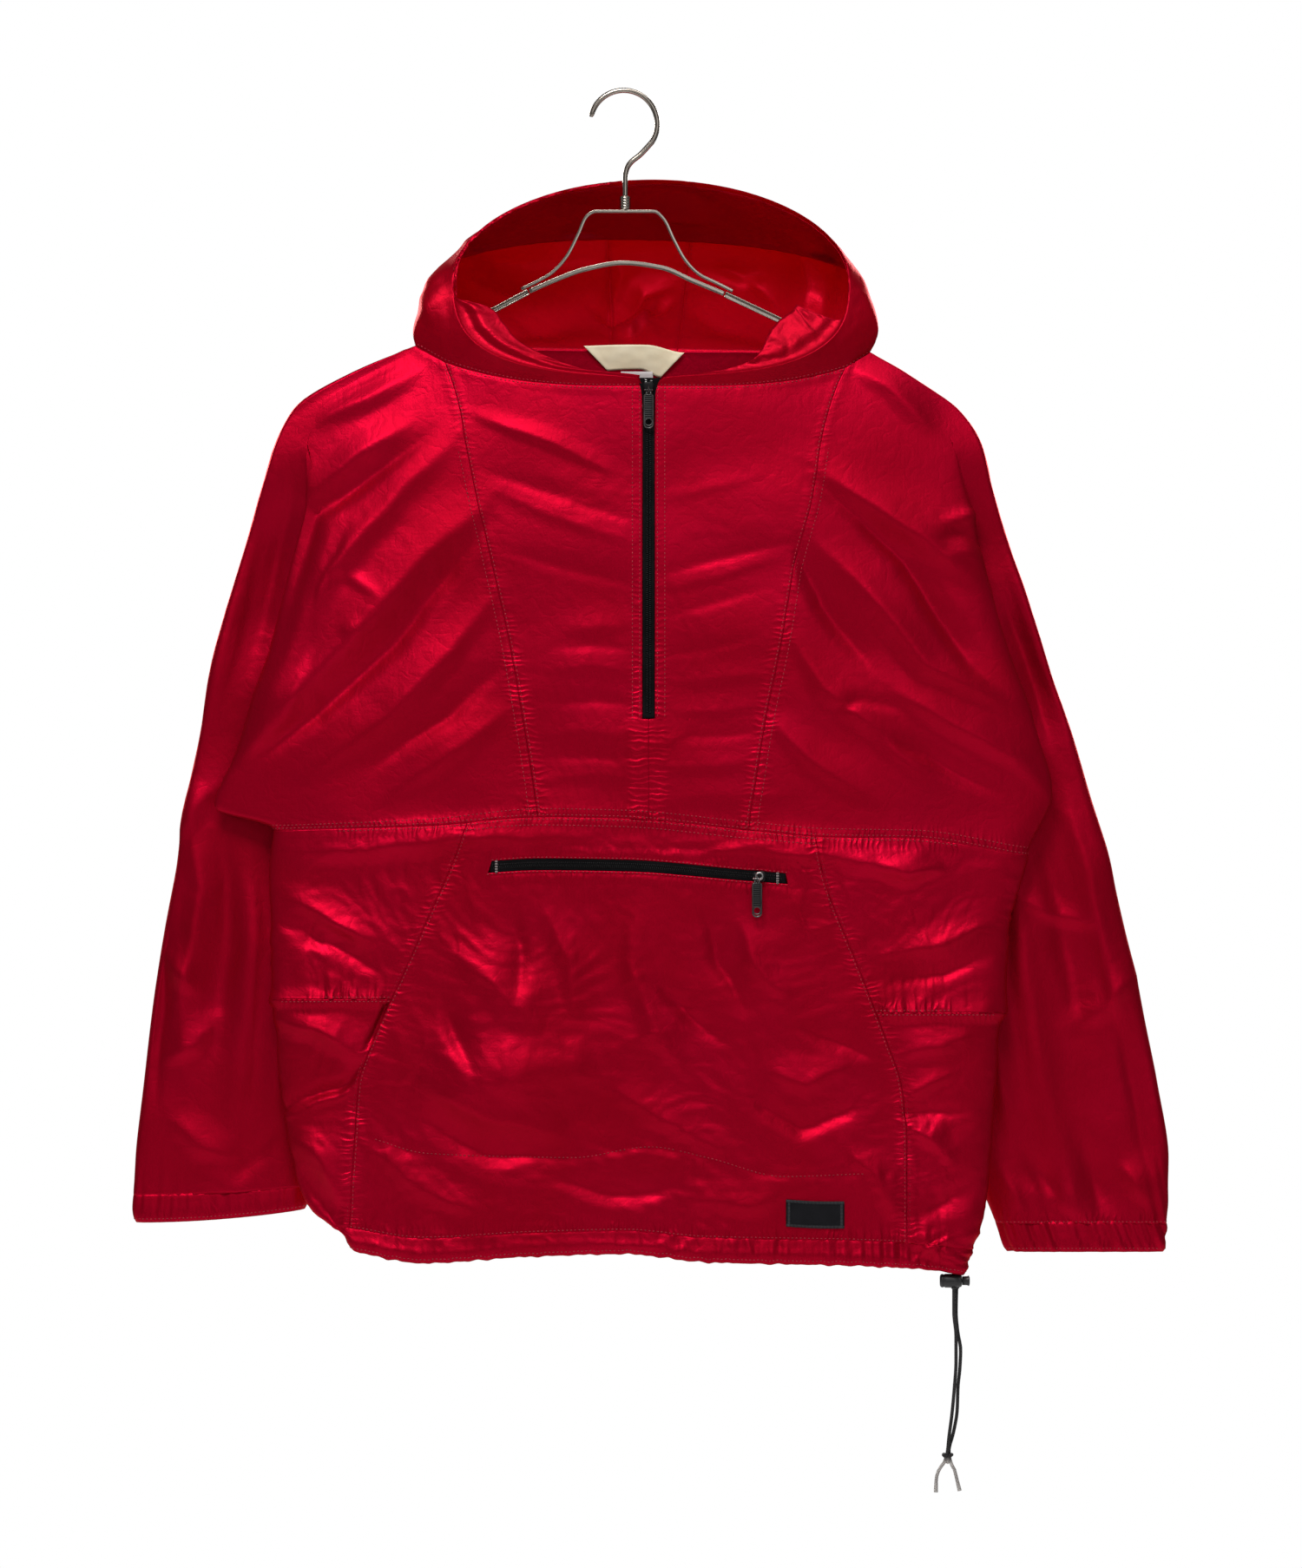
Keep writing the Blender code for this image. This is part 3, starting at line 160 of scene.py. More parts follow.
sleeves = {
    # rows go from the neck seam down to the cuff's edge; a shorter column keeps its last value to the end
    "right": {
        "outer": (-156, -206, -247, -262, -274, -288, -306, -320, -330, -333, -336, -345, -354, -361, -367, -368, -367),
        "outerDrop": (190, 212, 238, 264, 303, 355, 420, 485, 531, 549, 575, 625, 685, 745, 800, 829, 849),
        "front": (-134, -128, -122, -118, -110, -98, -84, -73, -66, -64), "frontDrop": (203, 219, 241),
        "back": (-134, -128, -122, -118, -110, -100, -90, -82, -77, -75), "backDrop": (191, 213, 238),
        "wing": (-147, -180, -214, -234, -237, -250, -265, -286, -306, -262),
        "inner": (-150, -190, -226, -240, -228, -224, -222, -222, -223, -224, -228, -230, -231, -232, -234, -237, -239),
    },
    "left": {
        "outer": (185, 212, 252, 268, 279, 296, 318, 339, 351, 365, 371, 379, 391, 402, 410, 409, 406),
        "outerDrop": (195, 212, 238, 264, 303, 355, 416, 468, 505, 549, 580, 625, 690, 745, 800, 850, 871),
        "front": (167, 160, 153, 148, 142, 128, 117, 106, 100, 94), "frontDrop": (207, 222, 243),
        "back": (167, 160, 153, 148, 142, 131, 122, 113, 108, 103), "backDrop": (194, 213, 240),
        "wing": (177, 193, 226, 243, 257, 271, 291, 312, 321, 302),
        "inner": (180, 200, 236, 250, 245, 247, 255, 262, 266, 268, 265, 259, 256, 257, 263, 281, 289),
    },
    "pinch": (0, 0, 0, 0, 0, 0, 0, 0, 0.3, 1),
    "underarmRow": 9, "cuffRow": 15, "endRow": 16, "cuffTilt": {"right": 10.0, "left": 0.0},
}
body = {
    "columns": ("drop", "rightEdge", "leftEdge", "rightSeam", "leftSeam"),
    "rows": (
        (549, -262, 302, -116, 143), (582, -266, 295, -129, 150), (615, -264, 289, -144, 161),
        (647, -262, 287, -158, 173), (680, -260, 284, -173, 185), (712, -259, 280, -187, 197),
        (745, -257, 279, -198, 208), (790, -250, 275, -201, 212), (822, -244, 273, -203, 212),
        (845, -234, 267, -204, 212), (859, -219, 261, -205, 212), (868, -206, 258, -198, 212),
        (877, -203, 256, -196, 212),
    ),
    "sideSeam": {"right": 680.0, "left": 690.0},
}
hood = {
    "rimCentre": (21.0, 141.0), "rimWidth": 148.0, "rimLow": (72.5, 3.0), "rimHigh": (77.0, 2.0), "rimDip": (4.5, 20.0),
    "rimFrontY": -34.0, "rimLean": 0.31, "rimStart": 269.15, "depth": 85.0, "spread": 14.0, "lift": 12.0,
    "facingDepth": 0.30, "neckShares": (0.0, 0.2, 0.29, 0.71, 0.8, 1.0),
    "stripShares": (0.4664, 0.5336),
}


def sleeveTable(side):
    columns = {**sleeves[side], "pinch": sleeves["pinch"]}
    table = {}
    for name, values in columns.items():
        missing = sleeves["endRow"] + 1 - len(values)
        rest = columns["outerDrop"][len(values):] if name.endswith("Drop") else values[-1:] * missing
        table[name] = np.array(values + rest, float)
    return table


sleeveTables = {side: sleeveTable(side) for side in ("right", "left")}
bodyTable = dict(zip(body["columns"], np.array(body["rows"], float).T))
chestSag = np.array(form["chestSag"], float).T
hemSag = np.array(form["hemSag"], float).T


def place(x, y, drop, hem=True):
    near = np.minimum(smooth((drop - 300) / 249), 1 - smooth((drop - form["chestDrop"]) / 141))
    sag = near * pchip(chestSag[0], chestSag[1], x)
    if hem:
        sag = sag + smooth((drop - 800) / 77) * pchip(hemSag[0], hemSag[1], x)
    return stack(x, y, -(drop + sag))


def swell(x, drop, bulge, sideLoss):
    below = np.maximum(drop - form["ridgeTop"] - form["ridgeFall"] * np.abs(x - form["centre"]), 0.0)
    grown = 1 - np.exp(-below / form["bulgeReach"])
    aside = np.minimum(np.abs(x - form["centre"]) / 290, 1.15)
    return form["ridgeHalf"] + grown * (bulge - sideLoss * aside ** 3)


def frontY(x, drop):
    return -swell(x, drop, form["frontBulge"], 16.0)


def backY(x, drop):
    return swell(x, drop, form["backBulge"], 8.0)


def foldPart(inner, edge, end, dropOf, fold, share):
    spread = 0.03 * np.abs(end - edge) * (1 - fold)
    toward = np.copysign(1.0, end - edge)
    flat = edge + toward * np.minimum(form["foldReach"], 0.4 * np.abs(end - edge))

    def at(x, depth, amount=0.0):
        return (x, mix(frontY(x, dropOf(x)), depth, amount), dropOf(x))

    behind = (inner + toward * spread, (inner + edge) / 2, edge - toward * spread)
    hidden = [at(x, form["hiddenLayer"], fold) for x in behind]
    return run([at(inner, form["underarmY"], fold), *hidden, at(edge + toward * spread, 0.0), at(flat, 0.0)], share)


def frontPart(inner, edge, end, dropOf, fold, share):
    folded = foldPart(inner, edge, end, dropOf, fold, share * 2)
    flat = edge + np.copysign(np.minimum(form["foldReach"], 0.4 * np.abs(end - edge)), end - edge)
    x = mix(flat, end, share * 2 - 1)
    level = (x, frontY(x, dropOf(x)), dropOf(x))
    return tuple(np.where(share < 0.5, a, b) for a, b in zip(folded, level))


def backPart(inner, end, dropOf, pinch, share):
    toward = np.copysign(1.0, end - inner)
    reach = np.minimum(form["backReach"], 0.5 * np.abs(end - inner))
    flat = inner + toward * reach

    def at(x, depth, amount):
        return (x, mix(backY(x, dropOf(x)), depth, amount), dropOf(x))

    level = at(mix(end, flat, share * 2), 0.0, 0.0)
    turned = run([at(flat, 0.0, 0.0), at(inner + toward * reach * 0.6, 0.0, 0.0),
                  at(inner + toward * reach * 0.25, 2.0, pinch), at(inner, form["underarmY"], pinch)], share * 2 - 1)
    return tuple(np.where(share < 0.5, a, b) for a, b in zip(level, turned))


def sleeveRow(side, row):
    sizes = sleeveTables[side]
    rows = np.arange(len(sizes["outer"]), dtype=float)
    found = {name: pchip(rows, column, row) for name, column in sizes.items()}
    found["fold"] = smooth((row - 3) / 2)
    found["tube"] = np.clip(row - sleeves["underarmRow"], 0.0, 1.0)
    return found


def sleevePoints(side, row, part, share):
    k = sleeveRow(side, row)
    outer, inner, wing = k["outer"], k["inner"], k["wing"]
    width = outer - inner
    outward = np.copysign(1.0, width)

    def frontDrop(x):
        return mix(k["outerDrop"], k["frontDrop"], (x - outer) / (k["front"] - outer))

    def backDrop(x):
        return mix(k["outerDrop"], k["backDrop"], (x - outer) / (k["back"] - outer))

    def backLayer(x):
        return mix(backY(x, backDrop(x)), form["sleeveBack"], k["tube"])

    def sleeveLayer(x):
        return mix(frontY(x, frontDrop(x)), form["sleeveLayer"], k["fold"])

    if part == "back":
        x, y, drop = backPart(inner, k["back"], backDrop, k["pinch"], share)
    elif part == "front":
        x, y, drop = frontPart(inner, wing, k["front"], frontDrop, k["fold"], share)
    else:
        backEdge = backY(inner, backDrop(inner))
        frontEdge = mix(frontY(inner, frontDrop(inner)), form["underarmY"], k["fold"])
        start = mix(mix(backEdge, form["underarmY"], k["pinch"]), 8.0, k["tube"])
        second = mix(mix(backEdge, 6.0, k["pinch"]), 15.0, k["tube"])
        controls = [(inner, start, backDrop(inner))]
        for along, y in ((0.06, second), (0.25, None), (0.75, None), (0.95, None)):
            x = inner + along * width
            controls.append((x, backLayer(x) if y is None else y, backDrop(x)))
        controls.append((outer, backLayer(outer) - 3, k["outerDrop"]))
        controls.append((outer, sleeveLayer(outer) + 3, k["outerDrop"]))
        for along in (0.95, 0.75, 0.25):
            x = inner + along * width
            controls.append((x, sleeveLayer(x), frontDrop(x)))
        spread = 0.03 * np.abs(k["front"] - wing) * (1 - k["fold"])
        x = inner + outward * (spread + 0.03 * np.abs(width) * k["fold"])
        controls.append((x, sleeveLayer(x), frontDrop(x)))
        controls.append((inner, mix(frontEdge, 8.0, k["tube"]), frontDrop(inner)))
        x, y, drop = run(controls, share)
    across = np.clip((x - outer) / (inner - outer), 0.0, 1.0)
    drop = drop - sleeves["cuffTilt"][side] * across ** 2 * smooth((row - 13) / 3)
    return place(x, y, drop, hem=False)


def bodySizes(side, drop):
    edge = pchip(bodyTable["drop"], bodyTable[side + "Edge"], drop)
    seam = pchip(bodyTable["drop"], bodyTable[side + "Seam"], drop)
    inward = 1.0 if side == "right" else -1.0
    underarm = {name: sleeveTables[side][name][sleeves["underarmRow"]] for name in ("inner", "wing")}
    atArm = abs(underarm["inner"] - underarm["wing"])
    behind = mix(atArm, 34.0, smooth((drop - form["chestDrop"]) / 300))
    return edge, edge + inward * behind, seam


def sidePoints(side, drop, share):
    edge, behind, seam = bodySizes(side, drop)
    x, y, at = frontPart(behind, edge, seam, lambda x: drop + 0 * x, 1.0, share)
    return place(x, y, at)


def pouchPoints(drop, share):
    x = mix(bodySizes("right", drop)[2], bodySizes("left", drop)[2], share)
    return place(x, frontY(x, drop), drop + 0 * x)


def backPoints(drop, share):
    right, left = bodySizes("right", drop)[1], bodySizes("left", drop)[1]
    one = backPart(right, left, lambda x: drop + 0 * x, 1.0, 1 - share / 2)
    three = backPart(left, right, lambda x: drop + 0 * x, 1.0, 0.5 + (share - 2) / 2)
    x = mix(right + form["backReach"], left - form["backReach"], share - 1)
    two = (x, backY(x, drop), drop + 0 * x)
    parts = [np.where(share < 1, a, np.where(share > 2, c, b)) for a, b, c in zip(one, two, three)]
    return place(*parts)


def neckDrop(x):
    return -25.0 * np.minimum(np.abs(x - 20) / 170, 1.0) ** 3.2


def upperPoints(row, share, face):
    right, left = sleeveRow("right", row), sleeveRow("left", row)
    topRight, topLeft = sleeveRow("right", 0.0), sleeveRow("left", 0.0)
    key = face + "Drop"
    x = mix(right[face], left[face], share)
    drop = mix(right[key], left[key], share)
    down = (drop - mix(topRight[key], topLeft[key], share)) / (form["chestDrop"] - topRight[key])
    if face == "front":
        topX = mix(topRight[face], topLeft[face], share)
        lift = neckDrop(topX) - mix(neckDrop(topRight[face]), neckDrop(topLeft[face]), share)
        drop = drop + lift * (1 - np.minimum(down, 1.0))
        return place(x, frontY(x, drop), drop)
    return place(x, backY(x, drop), drop)


def frontShare(row, x):
    right, left = sleeveRow("right", row)["front"], sleeveRow("left", row)["front"]
    return (x - right) / (left - right)


def sleeveTop(side, t):
    back = sleevePoints(side, 0.0, "back", np.clip(t / 0.2, 0, 1))
    middle = sleevePoints(side, 0.0, "round", np.clip((t - 0.2) / 0.5, 0, 1))
    front = sleevePoints(side, 0.0, "front", np.clip((t - 0.7) / 0.3, 0, 1))
    return np.where((t < 0.2)[..., None], back, np.where((t < 0.7)[..., None], middle, front))


def neckPoints(s):
    frontEnd, rightEnd, backEnd, leftEnd = hood["neckShares"][1:5]
    slotRight = frontShare(0.0, zips["frontAt"] - zips["frontHalf"])
    slotLeft = frontShare(0.0, zips["frontAt"] + zips["frontHalf"])
    found = upperPoints(0.0, mix(1.0, slotLeft, np.clip((s - leftEnd) / (1 - leftEnd), 0, 1)), "front")
    for limit, points in (
            (leftEnd, sleeveTop("left", np.clip((s - backEnd) / (leftEnd - backEnd), 0, 1))),
            (backEnd, upperPoints(0.0, np.clip((s - rightEnd) / (backEnd - rightEnd), 0, 1), "back")),
            (rightEnd, sleeveTop("right", np.clip(1 - (s - frontEnd) / (rightEnd - frontEnd), 0, 1))),
            (frontEnd, upperPoints(0.0, slotRight * np.clip(1 - s / frontEnd, 0, 1), "front"))):
        found = np.where((s < limit)[..., None], points, found)
    return found


def hoodPoints(s, v):
    angle = np.radians(hood["rimStart"] - 2 * (hood["rimStart"] - 90) * s)
    across, up = np.cos(angle), np.sin(angle)
    low = up < 0
    height = np.where(low, hood["rimLow"][0], hood["rimHigh"][0])
    power = np.where(low, hood["rimLow"][1], hood["rimHigh"][1])
    rimX = hood["rimCentre"][0] + hood["rimWidth"] * np.copysign(np.abs(across) ** (2 / power), across)
    rimZ = -hood["rimCentre"][1] + height * np.copysign(np.abs(up) ** (2 / power), up)
    dip = hood["rimDip"][0] * np.exp(-np.abs(rimX - zips["frontAt"]) / hood["rimDip"][1])
    rimZ = rimZ - np.where(low, dip, 0.0)
    rimY = hood["rimFrontY"] + hood["rimLean"] * (rimZ + hood["rimCentre"][1] + hood["rimHigh"][0])
    high, wide = smooth((up + 0.05) / 1.05), smooth((up + 0.7) / 0.7)
    arch = 4 * v * (1 - v)
    neck = neckPoints(s)
    wide = wide * np.where(across < 0, 1 - 0.7 * smooth((0.15 - up) / 0.5), 1.0)
    early = np.exp(-((v - 0.2) / 0.13) ** 2 - ((up - 0.32) / 0.26) ** 2) * np.abs(across)
    early = early * np.where(across < 0, -8.0, 5.0)
    return stack(mix(rimX, neck[..., 0], v) + arch * hood["spread"] * across * wide + early,
                 mix(rimY, neck[..., 1], v) + arch * hood["depth"] * high,
                 mix(rimZ, neck[..., 2], v) + arch * hood["lift"] * high)


print("form ready")


# ---- meshes
def meshObject(name, points, faces, material, node=None, slotName=None, body="garment", wall=None, shade=True):
    # points are millimetres, as a list or as a grid with no faces given; faces are rows of three or four corners
    points = np.asarray(points, float)
    faces = gridFaces(*points.shape[:2]) if faces is None else np.asarray(faces, int)
    points = points.reshape(-1, 3)
    mesh = bpy.data.meshes.new(name)
    mesh.vertices.add(len(points))
    mesh.vertices.foreach_set("co", (points * mm).ravel())
    size = faces.shape[1]
    mesh.loops.add(faces.size)
    mesh.loops.foreach_set("vertex_index", faces.ravel())
    mesh.polygons.add(len(faces))
    mesh.polygons.foreach_set("loop_start", np.arange(len(faces)) * size)
    mesh.polygons.foreach_set("loop_total", np.full(len(faces), size))
    mesh.update(calc_edges=True)
    mesh.validate()
    if shade:
        mesh.shade_smooth()
    thing = bpy.data.objects.new(name, mesh)
    scene.collection.objects.link(thing)
    mesh.materials.append(finishes[material])
    if wall:
        cloth = thing.modifiers.new("clothThickness", "SOLIDIFY")
        cloth.thickness, cloth.offset = wall * mm, 0.0
    if body:
        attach(thing, body)
    if node:
        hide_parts(node)
    return thing


def ringFaces(rows, columns, closed=True):
    i, j = np.meshgrid(np.arange(rows - 1), np.arange(columns if closed else columns - 1), indexing="ij")
    a, n = i * columns, (j + 1) % columns
    return np.stack([a + j, a + columns + j, a + columns + n, a + n], -1).reshape(-1, 4)


def gridFaces(rows, columns):
    return ringFaces(rows, columns, closed=False)


# ---- nodes: a label or a place in the list of a node's inputs, then a plain value or the socket that feeds it
def feed(tree, value, socket):
    if isinstance(value, bpy.types.NodeSocket):
        tree.links.new(value, socket)
    elif value is not None:
        socket.default_value = value


def addNode(tree, kind, inputs, **settings):
    node = tree.nodes.new("ShaderNode" + kind)
    for name, value in settings.items():
        setattr(node, name, value)
    for label, value in inputs.items():
        feed(tree, value, node.inputs[label])
    return node


def maths(tree, *operations):
    # one short function for each kind of Math node
    def made(operation):
        return lambda a, b=None, clamp=False: addNode(tree, "Math", {0: a, 1: b}, operation=operation,
                                                      use_clamp=clamp).outputs[0]
    return [made(operation) for operation in operations]


def noise(tree, where, scale, detail=2.0, roughness=0.5, distortion=0.0):
    return addNode(tree, "TexNoise", {"Vector": where, "Scale": scale, "Detail": detail, "Roughness": roughness,
                                      "Distortion": distortion}).outputs["Fac"]


def blendColours(tree, share, a, b):
    return addNode(tree, "Mix", {0: share, 6: a, 7: b}, data_type="RGBA").outputs[2]


def axes(tree, where):
    return addNode(tree, "SeparateXYZ", {"Vector": where}).outputs


# ---- node groups shared by the finishes
def newGroup(name, inputs, outputs):
    group = bpy.data.node_groups.new(name, "ShaderNodeTree")
    group.interface.new_socket("Vector", in_out="INPUT", socket_type="NodeSocketVector")
    for label, value in inputs.items():
        kind = "Color" if isinstance(value, tuple) else "Float"
        group.interface.new_socket(label, in_out="INPUT", socket_type="NodeSocket" + kind).default_value = value
    for label in outputs:
        kind = "Color" if label == "Color" else "Float"
        group.interface.new_socket(label, in_out="OUTPUT", socket_type="NodeSocket" + kind)
    return group, group.nodes.new("NodeGroupInput").outputs, group.nodes.new("NodeGroupOutput").inputs


def crinkleGroup():
    # sharp little ridges between soft facets, as in pressed thin nylon, in two sizes
    group, start, end = newGroup("crinkle", {"Coarse": 75.0, "Fine": 210.0, "Fine Share": 0.35}, ["Height"])
    times, plus, minus, power, absolute = maths(group, "MULTIPLY", "ADD", "SUBTRACT", "POWER", "ABSOLUTE")
    coarse, fine = (power(times(absolute(minus(noise(group, start["Vector"], start[size], 1.5, 0.45, 0.6), 0.5)), 3.4,
                                True), 0.75) for size in ("Coarse", "Fine"))
    feed(group, plus(coarse, times(fine, start["Fine Share"])), end["Height"])
    return group


def weaveGroup():
    # crossing threads, with every eighth one thicker
    group, start, end = newGroup("weave", {"Threads": 1800.0, "Rib": 0.5}, ["Height", "Mask"])
    times, plus, power, absolute, sine = maths(group, "MULTIPLY", "ADD", "POWER", "ABSOLUTE", "SINE")
    part = axes(group, start["Vector"])
    waves = []
    for axis in ("X", "Z"):
        turns = times(part[axis], start["Threads"])
        thick = power(absolute(sine(times(turns, 0.125))), 24.0)
        waves.append(plus(absolute(sine(turns)), times(thick, start["Rib"])))
    feed(group, plus(*waves), end["Height"])
    feed(group, times(*waves, True), end["Mask"])
    return group


def driftGroup():
    # slow change of tone over the surface, and finer dust
    group, start, end = newGroup("toneDrift", {"Scale": 9.0, "Dust": 0.25, "Tone A": (0.4, 0, 0.02, 1),
                                               "Tone B": (0.3, 0, 0.015, 1)}, ["Color", "Mask"])
    times, plus, minus = maths(group, "MULTIPLY", "ADD", "SUBTRACT")
    slow = noise(group, start["Vector"], start["Scale"], 3.0, 0.55, 0.3)
    dusty = times(minus(noise(group, start["Vector"], 420.0, 2.0, 0.6), 0.5), start["Dust"])
    mask = plus(times(minus(slow, 0.3), 2.4, True), dusty, True)
    feed(group, blendColours(group, mask, start["Tone A"], start["Tone B"]), end["Color"])
    feed(group, mask, end["Mask"])
    return group


def braidGroup():
    # two sets of slanting strands round an upright cord
    group, start, end = newGroup("braid", {"Pitch": 3800.0, "Slant": 1.0}, ["Height"])
    times, plus, minus, sine, greater = maths(group, "MULTIPLY", "ADD", "SUBTRACT", "SINE", "MAXIMUM")
    part = axes(group, start["Vector"])
    aside = times(plus(part["X"], part["Y"]), start["Slant"])
    waves = [sine(times(way(part["Z"], aside), start["Pitch"])) for way in (plus, minus)]
    feed(group, greater(*waves), end["Height"])
    return group


def puckersGroup():
    # the small tucks that cross a seam: Upright and Level say how strong they are beside each kind of seam
    group, start, end = newGroup("puckers", {"Upright": 0.0, "Level": 0.0, "Pitch": 1450.0}, ["Height"])
    times, plus, minus, power, sine = maths(group, "MULTIPLY", "ADD", "SUBTRACT", "POWER", "SINE")
    part = axes(group, start["Vector"])
    bend = times(noise(group, start["Vector"], 75.0, 1.0), 14.0)
    uneven = times(minus(noise(group, start["Vector"], 48.0, 1.0), 0.22), 2.2, True)
    waves = [times(power(plus(times(sine(plus(times(part[axis], start["Pitch"]), bend)), 0.5), 0.5), 1.6), start[label])
             for axis, label in (("Z", "Upright"), ("X", "Level"))]
    feed(group, times(plus(*waves), uneven), end["Height"])
    return group


groups = {"puckers": puckersGroup(), "crinkle": crinkleGroup(), "weave": weaveGroup(), "toneDrift": driftGroup(),
          "braid": braidGroup()}
finishes = {}


def newFinish(name, lit, deep, rough, spread, scale, dust, **values):
    # a Principled shader whose colour and roughness drift over the surface
    made = finishes[name] = bpy.data.materials.new(name)
    made.use_nodes = True
    tree, shader = made.node_tree, made.node_tree.nodes["Principled BSDF"]
    where = addNode(tree, "TexCoord", {}).outputs["Object"]
    tone = useGroup(tree, "toneDrift", where, Scale=scale, Dust=dust, Tone_A=(*lit, 1), Tone_B=(*deep, 1))
    times, plus = maths(tree, "MULTIPLY", "ADD")
    feed(tree, tone["Color"], shader.inputs["Base Color"])
    feed(tree, plus(times(tone["Mask"], spread), rough - spread / 2), shader.inputs["Roughness"])
    for label, value in values.items():
        shader.inputs[label.replace("_", " ")].default_value = value
    return tree, shader, where


def useGroup(tree, name, where, **values):
    node = addNode(tree, "Group", {}, node_tree=groups[name])
    for label, value in {"Vector": where, **values}.items():
        feed(tree, value, node.inputs[label.replace("_", " ")])
    return node.outputs


def bump(tree, shader, heights):
    # heights are (socket, distance in metres, strength), the coarsest first
    normal = None
    for height, distance, strength in heights:
        normal = addNode(tree, "Bump", {"Height": height, "Distance": distance, "Strength": strength,
                                        "Normal": normal}).outputs["Normal"]
    feed(tree, normal, shader.inputs["Normal"])
    return normal


nylon = {
    "shellNylon": dict(lit=(0.53, 0.0008, 0.024), deep=(0.43, 0.0006, 0.016), rough=0.48, metal=0.72, through=0.06,
                       glow=(0.75, 0.002, 0.012), crinkle=0.13),
    "hoodNylon": dict(lit=(0.52, 0.0008, 0.020), deep=(0.42, 0.0006, 0.013), rough=0.41, metal=0.50, through=0.36,
                      glow=(0.95, 0.002, 0.010), crinkle=0.14),
    "facingNylon": dict(lit=(0.50, 0.0006, 0.014), deep=(0.41, 0.0004, 0.010), rough=0.40, metal=0.40, through=0.06,
                        glow=(0.6, 0.001, 0.01), crinkle=0.14),
}


def nylonFinish(name, lit, deep, rough, metal, through, glow, crinkle):
    tree, shader, where = newFinish(name, lit, deep, rough, 0.10, 11.0, 0.10, Metallic=metal, Specular_IOR_Level=0.42,
                                    Specular_Tint=(1.0, 0.12, 0.20, 1.0))
    upright, level = (addNode(tree, "Attribute", {}, attribute_name="pucker" + label).outputs["Fac"]
                      for label in ("Upright", "Level"))
    ladder = useGroup(tree, "puckers", where, Upright=upright, Level=level)
    ridges = useGroup(tree, "crinkle", where, Coarse=80.0, Fine=260.0, Fine_Share=0.35)
    threads = useGroup(tree, "weave", where, Threads=3600.0, Rib=0.7)
    normal = bump(tree, shader, [(ladder["Height"], 0.0007, 0.7), (ridges["Height"], 0.0011, crinkle),
                                 (threads["Height"], 0.00003, 0.35)])
    light = addNode(tree, "BsdfTranslucent", {"Color": (*glow, 1), "Normal": normal})
    cloth = addNode(tree, "MixShader", {0: through, 1: shader.outputs["BSDF"], 2: light.outputs["BSDF"]})
    feed(tree, cloth.outputs["Shader"], tree.nodes["Material Output"].inputs["Surface"])


def plainFinish(name, lit, deep, rough, metal=0.0, scale=40.0, dust=0.3, texture="grain", depth=0.0001, strength=0.5,
                gloss=0.5):
    tree, shader, where = newFinish(name, lit, deep, rough, 0.12, scale, dust, Metallic=metal, Specular_IOR_Level=gloss)
    if texture == "grain":
        height = noise(tree, where, 900.0, 3.0, 0.6)
    elif texture == "brushed":
        stretched = addNode(tree, "Mapping", {"Vector": where, "Scale": (0.12, 3.0, 3.0)}).outputs["Vector"]
        height = noise(tree, stretched, 700.0, 2.0, 0.6)
    elif texture:
        kind, values = texture
        height = useGroup(tree, kind, where, **values)["Height"]
    if texture:
        bump(tree, shader, [(height, depth, strength)])
    return tree, shader, where


for name, values in nylon.items():
    nylonFinish(name, **values)
weaves = {name: ("weave", dict(Threads=threads, Rib=rib)) for name, threads, rib in (
    ("tape", 5200.0, 0.2), ("satin", 9000.0, 0.1), ("care", 7000.0, 0.1), ("patch", 6500.0, 0.3))}
thread = ("braid", dict(Pitch=7000.0))
plainFinish("floorPaint", (0.82, 0.82, 0.82), (0.78, 0.78, 0.78), 0.85, scale=2.0, dust=0.05)
plainFinish("redThread", (0.50, 0.008, 0.030), (0.34, 0.004, 0.018), 0.5, texture=thread)
plainFinish("paleThread", (0.34, 0.28, 0.28), (0.26, 0.21, 0.21), 0.6, texture=thread)
plainFinish("patchThread", (0.07, 0.07, 0.08), (0.045, 0.045, 0.05), 0.5, texture=thread)
plainFinish("tapeWeave", (0.0075, 0.007, 0.008), (0.004, 0.004, 0.0045), 0.85, texture=weaves["tape"], gloss=0.08)
plainFinish("toothNylon", (0.007, 0.007, 0.008), (0.005, 0.005, 0.0055), 0.34, depth=0.00005, gloss=0.2)
plainFinish("toothSilver", (0.72, 0.71, 0.70), (0.55, 0.54, 0.53), 0.28, 1.0, texture="brushed", depth=0.00003)
plainFinish("blackEnamel", (0.007, 0.007, 0.008), (0.011, 0.010, 0.011), 0.42, depth=0.00004, gloss=0.2)
plainFinish("wornEdge", (0.16, 0.155, 0.155), (0.05, 0.048, 0.048), 0.34, 0.8, 120.0, texture="brushed", depth=0.00003)
plainFinish("creamSatin", (1.0, 0.90, 0.66), (0.97, 0.84, 0.58), 0.48, 0.0, 60.0, 0.3, weaves["satin"], 0.00008)
plainFinish("careCloth", (0.62, 0.58, 0.58), (0.52, 0.47, 0.48), 0.62, 0.0, 60.0, 0.3, weaves["care"], 0.00008)
plainFinish("patchWeave", (0.008, 0.008, 0.010), (0.013, 0.013, 0.016), 0.75, 0.0, 80.0, texture=weaves["patch"],
            depth=0.00012, gloss=0.12)
plainFinish("mouldedLock", (0.018, 0.018, 0.019), (0.030, 0.030, 0.031), 0.42, depth=0.00006)
plainFinish("satinSteel", (0.50, 0.44, 0.38), (0.42, 0.37, 0.32), 0.22, 1.0, 30.0, 0.02, None)


